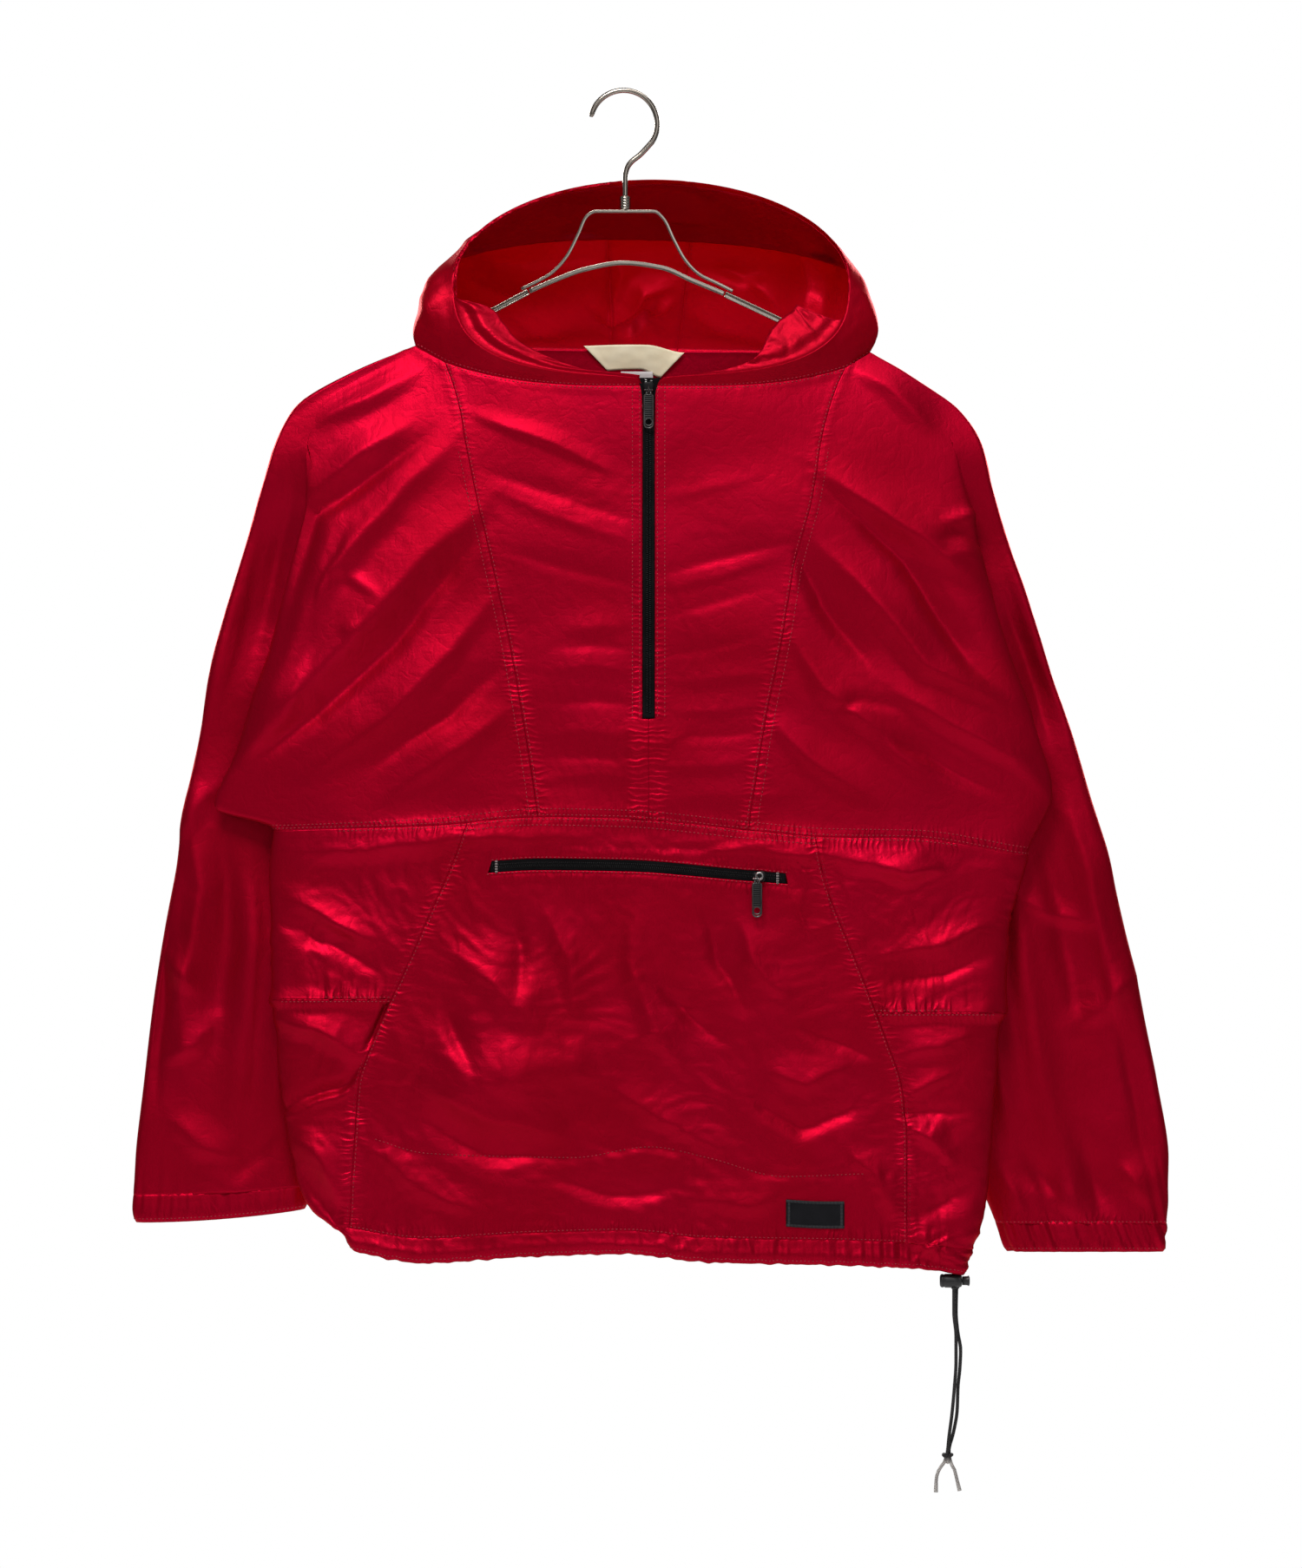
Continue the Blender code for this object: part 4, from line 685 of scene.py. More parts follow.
def cordFinish():
    # braided cord: black, with the ends below the knot faded to grey
    tree, shader, where = plainFinish("cordBraid", (0.020, 0.019, 0.020), (0.034, 0.031, 0.032), 0.7,
                                      texture=("braid", dict(Pitch=3300.0)), depth=0.0004, strength=0.9)
    below = addNode(tree, "MapRange", {"Value": axes(tree, where)["Z"], "From Min": -1.0225, "From Max": -1.0275,
                                       "To Min": 0.0, "To Max": 1.0}).outputs["Result"]
    faded = useGroup(tree, "toneDrift", where, Scale=60.0, Dust=0.6, Tone_A=(0.80, 0.76, 0.72, 1),
                     Tone_B=(0.30, 0.27, 0.27, 1))
    black = shader.inputs["Base Color"].links[0].from_socket
    feed(tree, blendColours(tree, below, black, faded["Color"]), shader.inputs["Base Color"])


cordFinish()


# ---- plain studio: a pale floor far below the garment, and soft lights
studio = {
    "floorDrop": 1.65, "floorRadius": 3.6, "backdrop": (1.0, 1.0, 1.0), "roomGlow": 0.11,
    "lamps": {
        # place, the height aimed at in the middle, width, height, power and colour
        "keyLamp": ((-0.55, -2.0, 1.80), -0.5, 1.15, 0.9, 56.0, (1.0, 0.985, 0.96)),
        "fillLamp": ((0.7, -3.0, 0.3), -0.6, 1.6, 1.4, 6.5, (0.97, 0.98, 1.0)),
        "topLamp": ((0.5, -0.8, 1.6), -0.3, 1.4, 0.7, 10.0, (1.0, 1.0, 1.0)),
        "backLamp": ((0.5, 2.6, 0.9), -0.25, 1.8, 1.8, 40.0, (1.0, 1.0, 1.0)),
        "rightLamp": ((-1.7, 2.2, 0.5), -0.2, 1.0, 1.0, 42.0, (1.0, 1.0, 1.0)),
        "leftLamp": ((1.7, 2.2, 0.5), -0.2, 1.0, 1.0, 36.0, (1.0, 1.0, 1.0)),
    },
}


def addStudio():
    world = scene.world = bpy.data.worlds.new("studioAir")
    world.use_nodes = True
    tree = world.node_tree
    tree.nodes.clear()
    glow = addNode(tree, "Background", {"Color": (1.0, 1.0, 1.0, 1.0), "Strength": studio["roomGlow"]})
    seen = addNode(tree, "Background", {"Color": (*studio["backdrop"], 1.0)})
    toCamera = addNode(tree, "LightPath", {}).outputs["Is Camera Ray"]
    air = addNode(tree, "MixShader", {0: toCamera, 1: glow.outputs["Background"], 2: seen.outputs["Background"]})
    feed(tree, air.outputs["Shader"], addNode(tree, "OutputWorld", {}).inputs["Surface"])
    for name, (spot, aim, width, height, power, colour) in studio["lamps"].items():
        data = bpy.data.lights.new(name, "AREA")
        data.shape, data.size, data.size_y, data.energy, data.color = "RECTANGLE", width, height, power, colour
        lamp = bpy.data.objects.new(name, data)
        lamp.location = spot
        lamp.rotation_euler = (Vector((0.0, 0.0, aim)) - Vector(spot)).to_track_quat("-Z", "Y").to_euler()
        scene.collection.objects.link(lamp)
    turn = circle(97)[:-1]
    rings = [stack(r * np.cos(turn), r * np.sin(turn), -studio["floorDrop"]) for r in (0.0002, studio["floorRadius"])]
    meshObject("studioFloor", np.concatenate(rings) / mm, ringFaces(2, 96), "floorPaint", body=None)


addStudio()
print("studio and finishes made")

# ---- drawcord: two strands from the cord lock, through one knot, to their bare ends
drawcord = {
    "radius": 1.3, "knotAt": (242.8, -23.0, -1023.0), "knotTurn": 2.7, "knotRadius": 1.35,
    "strandA": ((247.4, -24.7, -896.5), (247.4, -24.7, -914.6), (249.0, -24.7, -932.0), (249.0, -24.7, -951.6),
                (247.8, -24.7, -970.5), (245.9, -24.7, -991.0), (243.6, -24.7, -1008.8), (242.6, -24.3, -1018.9),
                (240.0, -23.3, -1027.4), (236.4, -23.5, -1032.0), (234.2, -23.5, -1040.0), (234.0, -23.5, -1049.2)),
    "strandB": ((249.6, -21.3, -896.5), (249.2, -21.3, -914.6), (250.4, -21.3, -929.0), (252.6, -21.3, -943.0),
                (252.0, -21.3, -956.8), (250.6, -21.3, -970.5), (250.0, -21.3, -988.0), (247.0, -21.3, -1005.6),
                (243.8, -21.7, -1018.7), (245.2, -22.7, -1027.4), (247.6, -22.5, -1031.6), (249.8, -22.5, -1040.0),
                (251.8, -22.5, -1048.2)),
}


def routeThrough(points, spacing):
    points = np.array(points, float)
    lengths = lengthsAlong(points)
    at = np.linspace(0, lengths[-1], max(int(round(lengths[-1] / spacing)), 2) + 1)
    return np.stack([pchip(lengths, axis, at) for axis in points.T], -1), lengths[-1]


def tube(route, radius, sides=12, flat=(1.0, 1.0), caps=True):
    # round tube along a route; flat stretches the section sideways and in depth
    route = np.asarray(route, float)
    along = unit(np.gradient(route, axis=0))
    side = np.cross(along, (0.0, 1.0, 0.0))
    side[np.linalg.norm(side, axis=1) < 1e-6] = (1.0, 0.0, 0.0)
    side = unit(side)[:, None]
    turn = circle(sides + 1)[:-1, None]
    ring = side * np.cos(turn) * flat[0] + np.cross(along[:, None], side) * np.sin(turn) * flat[1]
    points = (route[:, None] + ring * np.broadcast_to(radius, len(route))[:, None, None]).reshape(-1, 3)
    faces = ringFaces(len(route), sides)
    if caps:
        first, last = len(points), len(points) + 1
        points = np.concatenate([points, route[:1], route[-1:]])
        base = (len(route) - 1) * sides
        j = np.arange(sides)
        n = (j + 1) % sides
        faces = np.concatenate([faces, np.stack([j * 0 + first, j, n, n], -1),
                                np.stack([j * 0 + last, base + n, base + j, base + j], -1)])
    return points, faces


def triangulate(faces):
    # splits four-cornered faces, and drops the doubled corner of the ones that are triangles
    faces = np.asarray(faces)
    if faces.shape[1] == 3:
        return faces
    thin = faces[:, 2] == faces[:, 3]
    full = faces[~thin]
    return np.concatenate([faces[thin][:, :3], full[:, [0, 1, 2]], full[:, [0, 2, 3]]])


def joined(pieces):
    points, faces, count = [], [], 0
    for somePoints, someFaces in pieces:
        points.append(somePoints)
        faces.append(triangulate(someFaces) + count)
        count += len(somePoints)
    return np.concatenate(points), np.concatenate(faces)


def addCords():
    x, y, z = drawcord["knotAt"]
    turn, wide = circle(97), drawcord["knotTurn"]
    # an overhand knot drawn tight
    loop = stack(x + wide * (np.sin(turn) + 0.75 * np.sin(2 * turn)) / 1.35, y + wide * 0.62 * np.sin(3 * turn),
                 z + wide * (np.cos(turn) - 0.75 * np.cos(2 * turn)) / 1.25)
    knot = meshObject("drawcordKnot", *joined([tube(loop[:-1], drawcord["knotRadius"], 10)]), "cordBraid", "cord_knot",
                      "cord")
    for name, end, pieces in (("strandA", "a", [knot]), ("strandB", "b", [])):
        route, length = routeThrough(drawcord[name], 4.0)
        curve = bpy.data.curves.new(name, "CURVE")
        curve.dimensions, curve.bevel_resolution, curve.use_fill_caps = "3D", 4, True
        curve.bevel_depth = drawcord["radius"] * mm
        spline = curve.splines.new("POLY")
        spline.points.add(len(route) - 1)
        spline.points.foreach_set("co", np.column_stack([route * mm, np.ones(len(route))]).ravel())
        flare = 1.0 + 0.22 * smooth((-route[:, 2] - 1040.0) / 8.0)
        spline.points.foreach_set("radius", flare)
        spline.use_smooth = True
        thing = bpy.data.objects.new("drawcord_" + name, curve)
        scene.collection.objects.link(thing)
        curve.materials.append(finishes["cordBraid"])
        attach(thing, "garment")
        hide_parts("cord_strand_" + end, "cord_end_" + end)


addCords()
print("drawcord hung")

# ---- creases, each (half width, height, then x and drop of the points of its crest); a height below nil is a valley
creases = {}
creases["front"] = (
    # wearer's right shoulder and chest
    (8, 3, -155, 212, -190, 231, -230, 249), (8, 3.2, -162, 252, -200, 276, -235, 304),
    (11, 5, -128, 266, -165, 300, -220, 363, -270, 473), (8, -4, -146, 259, -190, 290, -230, 318, -252, 403),
    (15, 6.5, -104, 312, -150, 352, -190, 398, -250, 458, -302, 528),
    (9, -4.5, -100, 322, -140, 374, -170, 413, -230, 468, -287, 510),
    (10, 4, -92, 372, -128, 420, -176, 470, -236, 512), (7, -2.6, -90, 430, -132, 470, -190, 508),
    (9, 2.8, -84, 462, -120, 492, -178, 530), (4, 0.9, -215, 358, -180, 381), (5, 0.8, -210, 403, -192, 406),
    (6, 2, -236, 430, -252, 470, -284, 500), (5, -1.5, -206, 330, -228, 372, -236, 420),
    # wearer's left shoulder and chest
    (9, 3.2, 172, 208, 200, 224, 232, 256), (11, 5.2, 148, 286, 185, 312, 220, 333, 270, 373),
    (8, -4.2, 140, 290, 180, 324, 210, 354, 257, 428, 292, 460), (12, 5.2, 146, 340, 180, 373, 227, 431, 302, 465),
    (8, -3.8, 128, 342, 148, 386, 184, 432), (10, 4.4, 200, 448, 242, 473, 294, 500, 317, 528),
    (5, -2.4, 184, 480, 215, 494, 279, 528), (4, -1.6, 152, 466, 176, 458, 206, 464),
    (9, 3.2, 122, 404, 150, 448, 196, 486, 232, 520), (8, 2.6, 108, 470, 140, 502, 186, 532),
    (4, 2.4, 237, 326, 262, 318, 282, 330), (4, -2, 234, 338, 256, 332, 274, 344),
    (4, 1.8, 240, 350, 258, 346, 268, 356),
    # centre front
    (4, -2, 26, 363, 70, 352, 128, 339), (5, 2.2, 28, 374, 72, 364, 118, 350), (4, -1.5, 28, 396, 64, 386, 112, 372),
    (6, 2.2, 36, 444, 80, 440, 115, 436), (6, 2, 34, 466, 76, 464, 112, 458), (6, 2.2, 30, 508, 70, 506, 110, 500),
    (7, 2.6, 24, 531, 70, 530, 124, 528), (5, -1.8, 30, 486, 72, 484, 108, 480), (4, -1.3, 28, 424, 60, 420, 98, 410),
    (4, 1.4, 30, 308, 60, 300, 104, 290), (5, -2.4, -105, 287, -50, 304, 14, 326),
    (6, 2.4, -104, 298, -54, 318, 10, 340), (5, -1.8, -92, 344, -40, 360, 12, 372),
    (8, 2.8, -46, 404, -18, 402, 11, 400), (7, 2.8, -58, 434, -20, 432, 12, 436), (8, 3, -62, 484, -24, 480, 10, 486),
    (5, -1.8, -56, 418, -20, 417, 12, 420), (5, -2, -60, 460, -22, 458, 12, 462),
    (6, 2.2, -60, 516, -20, 512, 20, 518), (4, -1.4, -66, 500, -30, 499, 4, 502),
    (5, 1.6, -112, 244, -60, 262, -8, 286),
    # just below the chest seam, and the pouch
    (10, 4.4, -240, 572, -170, 566, -100, 560, -30, 560), (9, 4.2, 60, 566, 140, 572, 230, 586),
    (38, 11, -150, 742, -80, 738, -20, 722), (3, 2, -190, 733, -208, 751, -262, 769),
    (15, 5, -128, 640, -92, 668, -58, 704), (7, -3.2, -136, 676, -126, 704, -112, 738),
    (6, -3, 20, 664, 46, 688, 74, 714), (6, -2.6, 130, 700, 156, 712, 184, 722),
    (7, -3.4, 94, 744, 106, 764, 132, 778, 160, 768, 184, 744), (9, 3.2, 104, 730, 138, 744, 172, 728),
    (4, -3.4, -188, 724, -206, 744, -262, 763), (11, 6.5, -264, 690, -230, 702, -192, 724),
    (8, 4.2, 188, 580, 212, 586, 240, 582), (6, 3, 208, 756, 230, 742, 250, 734),
    (6, 3.2, 208, 770, 228, 782, 248, 804), (5, -2.6, 206, 763, 232, 764, 252, 768),
    (9, 3.6, -60, 612, -40, 652, -34, 700), (8, -3, -84, 610, -76, 652, -80, 690),
    (9, 3.2, 10, 610, 6, 652, 22, 704, 52, 742), (8, 3.4, 84, 616, 96, 650, 124, 684),
    (7, -2.6, 60, 612, 70, 650, 92, 690), (10, 3.4, -150, 742, -100, 770, -40, 780),
    (8, -3, -160, 766, -104, 796, -30, 800), (10, 3.2, -20, 742, 30, 768, 84, 800),
    (8, 3, -190, 790, -150, 822, -104, 842), (7, -2.4, -60, 812, -10, 826, 50, 820),
    (9, 3, 40, 826, 90, 834, 140, 820), (8, 3, 170, 790, 190, 816, 206, 846), (6, 3, 214, 862, 232, 868, 252, 872),
    (5, -2.4, 210, 872, 230, 876, 250, 879), (8, 3.6, -256, 600, -216, 622, -172, 640),
    (7, -3, -262, 622, -222, 640, -178, 658), (8, 3.4, -246, 780, -222, 806, -204, 836),
    (7, -3, -252, 796, -232, 824, -214, 850), (7, 3.2, 276, 624, 240, 640, 190, 648),
    (6, -2.6, 278, 644, 240, 662, 196, 668), (8, 3.4, 262, 700, 236, 716, 206, 722),
    (7, -2.6, 268, 812, 244, 832, 218, 846),
)
creases["rightArm"] = (
    (10, -4.5, -235, 249, -248, 300, -262, 364, -280, 433), (13, 5, -284, 330, -300, 400, -320, 490),
    (10, 4.5, -326, 540, -318, 600, -332, 680, -330, 740), (9, -4, -300, 560, -296, 640, -306, 720),
    (9, 4.2, -282, 566, -278, 640, -286, 716, -292, 790), (8, -3.6, -344, 600, -346, 680, -352, 760),
    (8, 3.4, -250, 600, -256, 680, -262, 770), (8, 3.4, -348, 640, -336, 662, -318, 676),
    (8, 3.2, -300, 690, -322, 716, -350, 728), (9, 3.4, -340, 770, -318, 792, -290, 802),
    (7, -3, -262, 780, -280, 806, -300, 830), (8, 3.6, -320, 812, -300, 824, -282, 832),
    (9, 3.2, -306, 520, -322, 536, -338, 566),
)
creases["leftArm"] = (
    (10, 4.5, 292, 350, 316, 412, 340, 480), (9, -4, 286, 380, 304, 430, 322, 490),
    (11, 5, 330, 520, 350, 590, 366, 670, 380, 760), (9, -4, 314, 560, 330, 630, 344, 710),
    (9, 4, 292, 570, 300, 650, 312, 740, 330, 810), (8, -3.4, 352, 640, 376, 720, 392, 800),
    (8, 3.6, 272, 610, 276, 700, 292, 790), (7, 3.2, 300, 606, 326, 620, 352, 624),
    (8, 3.4, 384, 660, 360, 690, 336, 704), (8, 3.6, 304, 823, 330, 836, 357, 848),
    (8, 3.6, 372, 804, 384, 818, 396, 838), (7, -3.4, 340, 780, 352, 812, 366, 846),
    (7, -3, 300, 790, 316, 822, 330, 852), (6, 3, 322, 800, 334, 828, 344, 858), (6, 3, 286, 812, 300, 840, 312, 866),
)
creases["back"] = (
    (12, 4.5, -100, 268, -150, 330, -196, 420), (10, -4, -84, 290, -120, 360, -170, 440),
    (13, 5, 96, 262, 150, 326, 206, 412, 232, 480), (10, -3.8, 84, 300, 130, 380, 186, 470),
    (12, 3.6, -60, 230, -30, 300, -36, 380, -20, 470), (12, 3.4, 70, 236, 52, 310, 60, 400, 36, 500),
    (11, 3.8, -150, 500, -90, 526, -20, 530), (11, 3.6, 170, 506, 110, 524, 40, 520),
    (13, 4.4, -160, 580, -110, 640, -96, 720, -120, 800), (11, -3.8, -60, 590, -46, 670, -66, 760),
    (13, 4.2, 20, 580, 34, 660, 16, 750, 30, 836), (12, 4.4, 190, 590, 146, 660, 128, 740, 150, 820),
    (10, -3.8, 90, 600, 84, 680, 66, 750), (10, 3.6, -190, 740, -130, 770, -60, 776),
    (10, 3.4, 60, 780, 120, 806, 196, 800), (9, 3.2, -30, 800, -90, 830, -160, 842),
    (9, 3.2, 240, 600, 226, 660, 230, 720), (9, 3, -228, 610, -214, 680, -220, 740),
    (12, -3.6, 0, 250, 14, 330, 8, 420),
)
creases["hood"] = (
    (6, 5.5, -26, 156, -8, 166, 6, 156, 16, 142, 34, 140), (5, -4.6, -20, 170, 4, 176, 22, 158),
    (5, 3.6, 14, 150, 22, 160, 40, 150), (7, 4.6, 10, 68, 40, 74, 72, 80), (6, 3.4, -64, 76, -40, 84, -14, 82),
    (5, -3.6, 8, 80, 34, 86, 70, 92), (8, 3.4, -122, 110, -96, 124, -70, 122),
    (7, -2.8, -126, 134, -100, 146, -76, 150), (8, 3.6, -10, 112, -2, 128, -12, 156, -8, 188),
    (6, -2.6, 22, 150, 16, 170, 24, 188), (9, 3.4, 142, 100, 156, 128, 150, 160, 132, 186),
    (7, -3, 132, 110, 142, 140, 136, 168), (8, 3.2, -146, 110, -152, 146, -140, 180),
    (7, 2.8, 96, 130, 114, 150, 120, 176), (6, -2.4, 70, 124, 92, 132, 110, 128),
    (7, 2.6, -92, 160, -66, 176, -40, 180), (6, 2.6, 50, 160, 70, 172, 96, 178), (8, 3, -60, 104, -34, 98, -10, 104),
)
hang = {
    "crumple": ((47.0, 1.5), (23.0, 1.05), (11.5, 0.45)), "wander": 3.6, "sway": 2.2, "puckerPeriod": 5.8,
    "thickness": 0.45, "depth": {"front": 1.1, "back": 1.1, "rightArm": 1.5, "leftArm": 1.5, "hood": 1.5},
    "middleShare": 0.45, "chestShare": 1.5, "lowerShare": 1.35,
}


def waver(x, y, seed):
    # soft seeded noise, about -1 to 1
    rng = np.random.default_rng(seed)
    order, turn = rng.permutation(256), rng.uniform(0, 2 * math.pi, 256)
    ix, iy = np.floor(x).astype(int), np.floor(y).astype(int)
    fx, fy = x - ix, y - iy

    def corner(dx, dy):
        angle = turn[order[(order[(ix + dx) & 255] + iy + dy) & 255]]
        return np.cos(angle) * (fx - dx) + np.sin(angle) * (fy - dy)

    u, v = (f * f * f * (f * (f * 6 - 15) + 10) for f in (fx, fy))
    return 1.5 * mix(mix(corner(0, 0), corner(1, 0), u), mix(corner(0, 1), corner(1, 1), u), v)


def crease(x, drop, width, height, points):
    low, high = points.min(0) - 3 * width, points.max(0) + 3 * width
    total = np.zeros(x.shape)
    near = (x > low[0]) & (x < high[0]) & (drop > low[1]) & (drop < high[1])
    if not near.any():
        return total
    px, pd = x[near], drop[near]
    lengths = lengthsAlong(points)
    best, along, side = np.full(px.shape, 1e9), np.zeros(px.shape), np.zeros(px.shape)
    for (ax, ad), (bx, bd), start in zip(points, points[1:], lengths):
        dx, dd = bx - ax, bd - ad
        span = math.hypot(dx, dd)
        t = np.clip(((px - ax) * dx + (pd - ad) * dd) / span ** 2, 0, 1)
        ox, od = px - ax - t * dx, pd - ad - t * dd
        far = np.hypot(ox, od)
        nearer = far < best
        best = np.where(nearer, far, best)
        along = np.where(nearer, start + t * span, along)
        side = np.where(nearer, np.sign(ox * dd - od * dx), side)
    t = along / lengths[-1]
    swellAlong = np.sin(math.pi * np.clip(0.05 + 0.90 * t, 0, 1)) ** 1.1
    reach = width * (1 + 0.30 * side * math.copysign(1.0, dx)) * (0.75 + 0.4 * swellAlong)
    ridge = best / reach
    total[near] = height * swellAlong * np.exp(-ridge ** 2 / (0.35 + 0.65 * np.minimum(ridge, 1.0)))
    return total


def crumple(x, drop, seed, lean=0.0, sizes=hang["crumple"]):
    total = np.zeros(np.shape(x))
    for n, (size, height) in enumerate(sizes):
        angle = lean + 0.5 * waver(x / 150, drop / 150, seed + 40 + n)
        u = (x * np.cos(angle) + drop * np.sin(angle)) / (size * 1.7)
        v = (drop * np.cos(angle) - x * np.sin(angle)) / size
        bent = 0.45 * waver(u * 1.3, v * 1.3, seed + 20 + n)
        total = total + height * ((1 - np.abs(waver(u + bent, v - bent, seed + n)) * 1.6) ** 2 - 0.36)
    return total * (0.75 + 0.6 * waver(x / 95, drop / 95, seed + 9))


def relief(kind, x, drop, seed, amount=1.0, lean=0.0):
    wander = hang["wander"] * (0.3 + (0.6 * smooth((drop - 520) / 40) if kind == "front" else 0.1))
    wx = x + wander * waver(x / 34, drop / 34, seed + 3) + 0.4 * waver(x / 11, drop / 11, seed + 5)
    wd = drop + wander * waver(x / 34, drop / 34, seed + 4) + 0.4 * waver(x / 11, drop / 11, seed + 6)
    total = amount * crumple(x, drop, seed, lean) + hang["sway"] * waver(x / 85, drop / 62, seed + 7)
    for width, height, *path in creases[kind]:
        points = np.reshape(path, (-1, 2)).astype(float)
        depth = hang["depth"][kind]
        if kind == "front" and points[0, 1] > 545:
            depth *= hang["lowerShare"]
        elif kind == "front":
            depth *= hang["middleShare" if np.abs(points[[0, -1], 0] - 18).max() < 125 else "chestShare"]
        total = total + depth * crease(wx, wd, width, height, points)
    return total


def pocketSag(x):
    return pchip(chestSag[0], chestSag[1], x) * 0.85


def calm(x, drop):
    # the zips, their sliders and the hem patch keep the cloth flat beside them
    front = hump((x - zips["frontAt"]) / 10) * (1 - smooth((drop - 476) / 16))
    inside = smooth((x - zips["pocketEnds"][0] + 14) / 12) * (1 - smooth((x - zips["pocketEnds"][1]) / 14))
    sag = pocketSag(x)
    pocket = hump((drop - zips["pocketDrop"] - sag) / 10) * inside
    sliders = np.exp(-((x - 19) / 14) ** 2 - ((drop - 236) / 24) ** 2)
    sliders = sliders + np.exp(-((x - 100) / 16) ** 2 - ((drop - 606) / 26) ** 2)
    patch = np.exp(-((x - 143) / 34) ** 4 - ((drop - 840) / 18) ** 4)
    return 1 - np.clip(0.86 * front + 0.86 * pocket + 0.95 * sliders + 0.7 * patch, 0, 0.97)


def frontRelief(x, drop):
    amount = 0.11 + 0.54 * smooth((drop - 550) / 30) + 0.10 * hump((np.abs(x - 15) - 40) / 30)
    total = relief("front", x, drop, 100, amount, 0.35 * np.tanh((x - 18) / 60) * (drop < 548))
    # small crumples above the pocket zip, along the pocket bag's row and where the hem is drawn in
    middle = 1 - smooth((np.abs(x - 12) - 120) / 40)
    small = middle * hump((drop - 574) / 13) + 0.9 * hump((drop - bagRow(x) - 3) / 13) * (
        0.35 + 0.65 * hump((x + 15) / 60)) + 1.8 * smooth((x - 200) / 30) * smooth((drop - 848) / 16)
    return calm(x, drop) * (total + small * crumple(x, drop, 150, 0.3, ((17.0, 1.5), (8.5, 0.8))))


def hemGathers(x, up):
    # gathers of the drawn-in hem, which run over its seam; up is the distance above that seam
    return 1.3 * waver(x / 6.0, up / 70, 56) * (0.6 + 0.9 * smooth((x - 60) / 120))


def cuffGathers(side, x, up):
    lean = (0.16 if side == "left" else -0.03) * np.where(up < 0, 3.0, 1.0)
    return (3.0 if side == "left" else 1.7) * waver((x + lean * up) / 5.2, up / 110, 55)


def bagRow(x):
    return pchip([-190, -146, -38, 20, 63, 120, 185], [783, 795, 798, 790, 798, 812, 810], x)


def backRelief(x, drop):
    return relief("back", x, drop, 300, 0.35, 0.6)


def armRelief(side, x, drop):
    return relief(side + "Arm", x, drop, 500 if side == "right" else 600, 0.20, 1.35)


def hoodRelief(x, y, drop):
    return relief("hood", x, drop, 700, 0.0) + 0.28 * crumple(x + 0.6 * y, drop + 0.35 * y, 700, 0.2)


def distances(points):
    # distance of each grid point from the four borders, along the cloth
    down = np.linalg.norm(np.diff(points, axis=0), axis=2)
    across = np.linalg.norm(np.diff(points, axis=1), axis=2)
    top = np.concatenate([np.zeros((1, points.shape[1])), np.cumsum(down, axis=0)])
    first = np.concatenate([np.zeros((points.shape[0], 1)), np.cumsum(across, axis=1)], axis=1)
    return {"top": top, "bottom": top[-1:] - top, "first": first, "last": first[:, -1:] - first}


def sewn(points, edges):
    # the seam's groove, its felled allowance, its stitch rows and the puckers that run out from it
    total = np.zeros(points.shape[:2])
    away = distances(points)
    for edge, (pucker, reach, *share) in edges.items():
        d = away[edge]
        along = points[..., 0] if edge in ("top", "bottom") else -points[..., 2]
        felled = smooth(d / 1.4) * (1 - smooth((d - 6.6) / 1.6))
        profile = 0.16 * felled - 0.06 * hump(d / 0.9)
        profile = profile - 0.10 * hump((d - 1.7) / 0.7) - 0.10 * hump((d - 6.2) / 0.8)
        uneven = 0.6 + 0.8 * waver(along / 60, d * 0 + 3.3, 77)
        bent = along + 0.35 * d * waver(along / 26, d / 20, 78)
        ripple = waver(bent / hang["puckerPeriod"], d / 26, 79) + 0.6 * waver(bent / 13.0, d / 40, 80)
        ripple = pucker * ripple * np.clip(uneven, 0.15, 1.4) * hump(d / reach, 1.4) * smooth(d / 2.0 + 0.25)
        total = total + (share or [1.0])[0] * (profile + ripple)
    return total


def gridNormals(points):
    return unit(np.cross(np.gradient(points, axis=0), np.gradient(points, axis=1)))


stitching = {"redThread": [], "paleThread": [], "patchThread": []}


def edgeLine(points, edge, distance):
    # the line that runs beside a border of a grid, at a distance from it
    grid = {"first": points, "last": points[:, ::-1], "top": points.transpose(1, 0, 2),
            "bottom": points[::-1].transpose(1, 0, 2)}[edge]
    far = np.concatenate([np.zeros((len(grid), 1)), np.cumsum(np.linalg.norm(np.diff(grid, axis=1), axis=2), 1)], 1)
    i = np.clip((far <= distance).sum(1) - 1, 0, grid.shape[1] - 2)
    rows = np.arange(len(grid))
    t = np.clip((distance - far[rows, i]) / np.maximum(far[rows, i + 1] - far[rows, i], 1e-9), 0, 1)[:, None]
    return mix(grid[rows, i], grid[rows, i + 1], t)


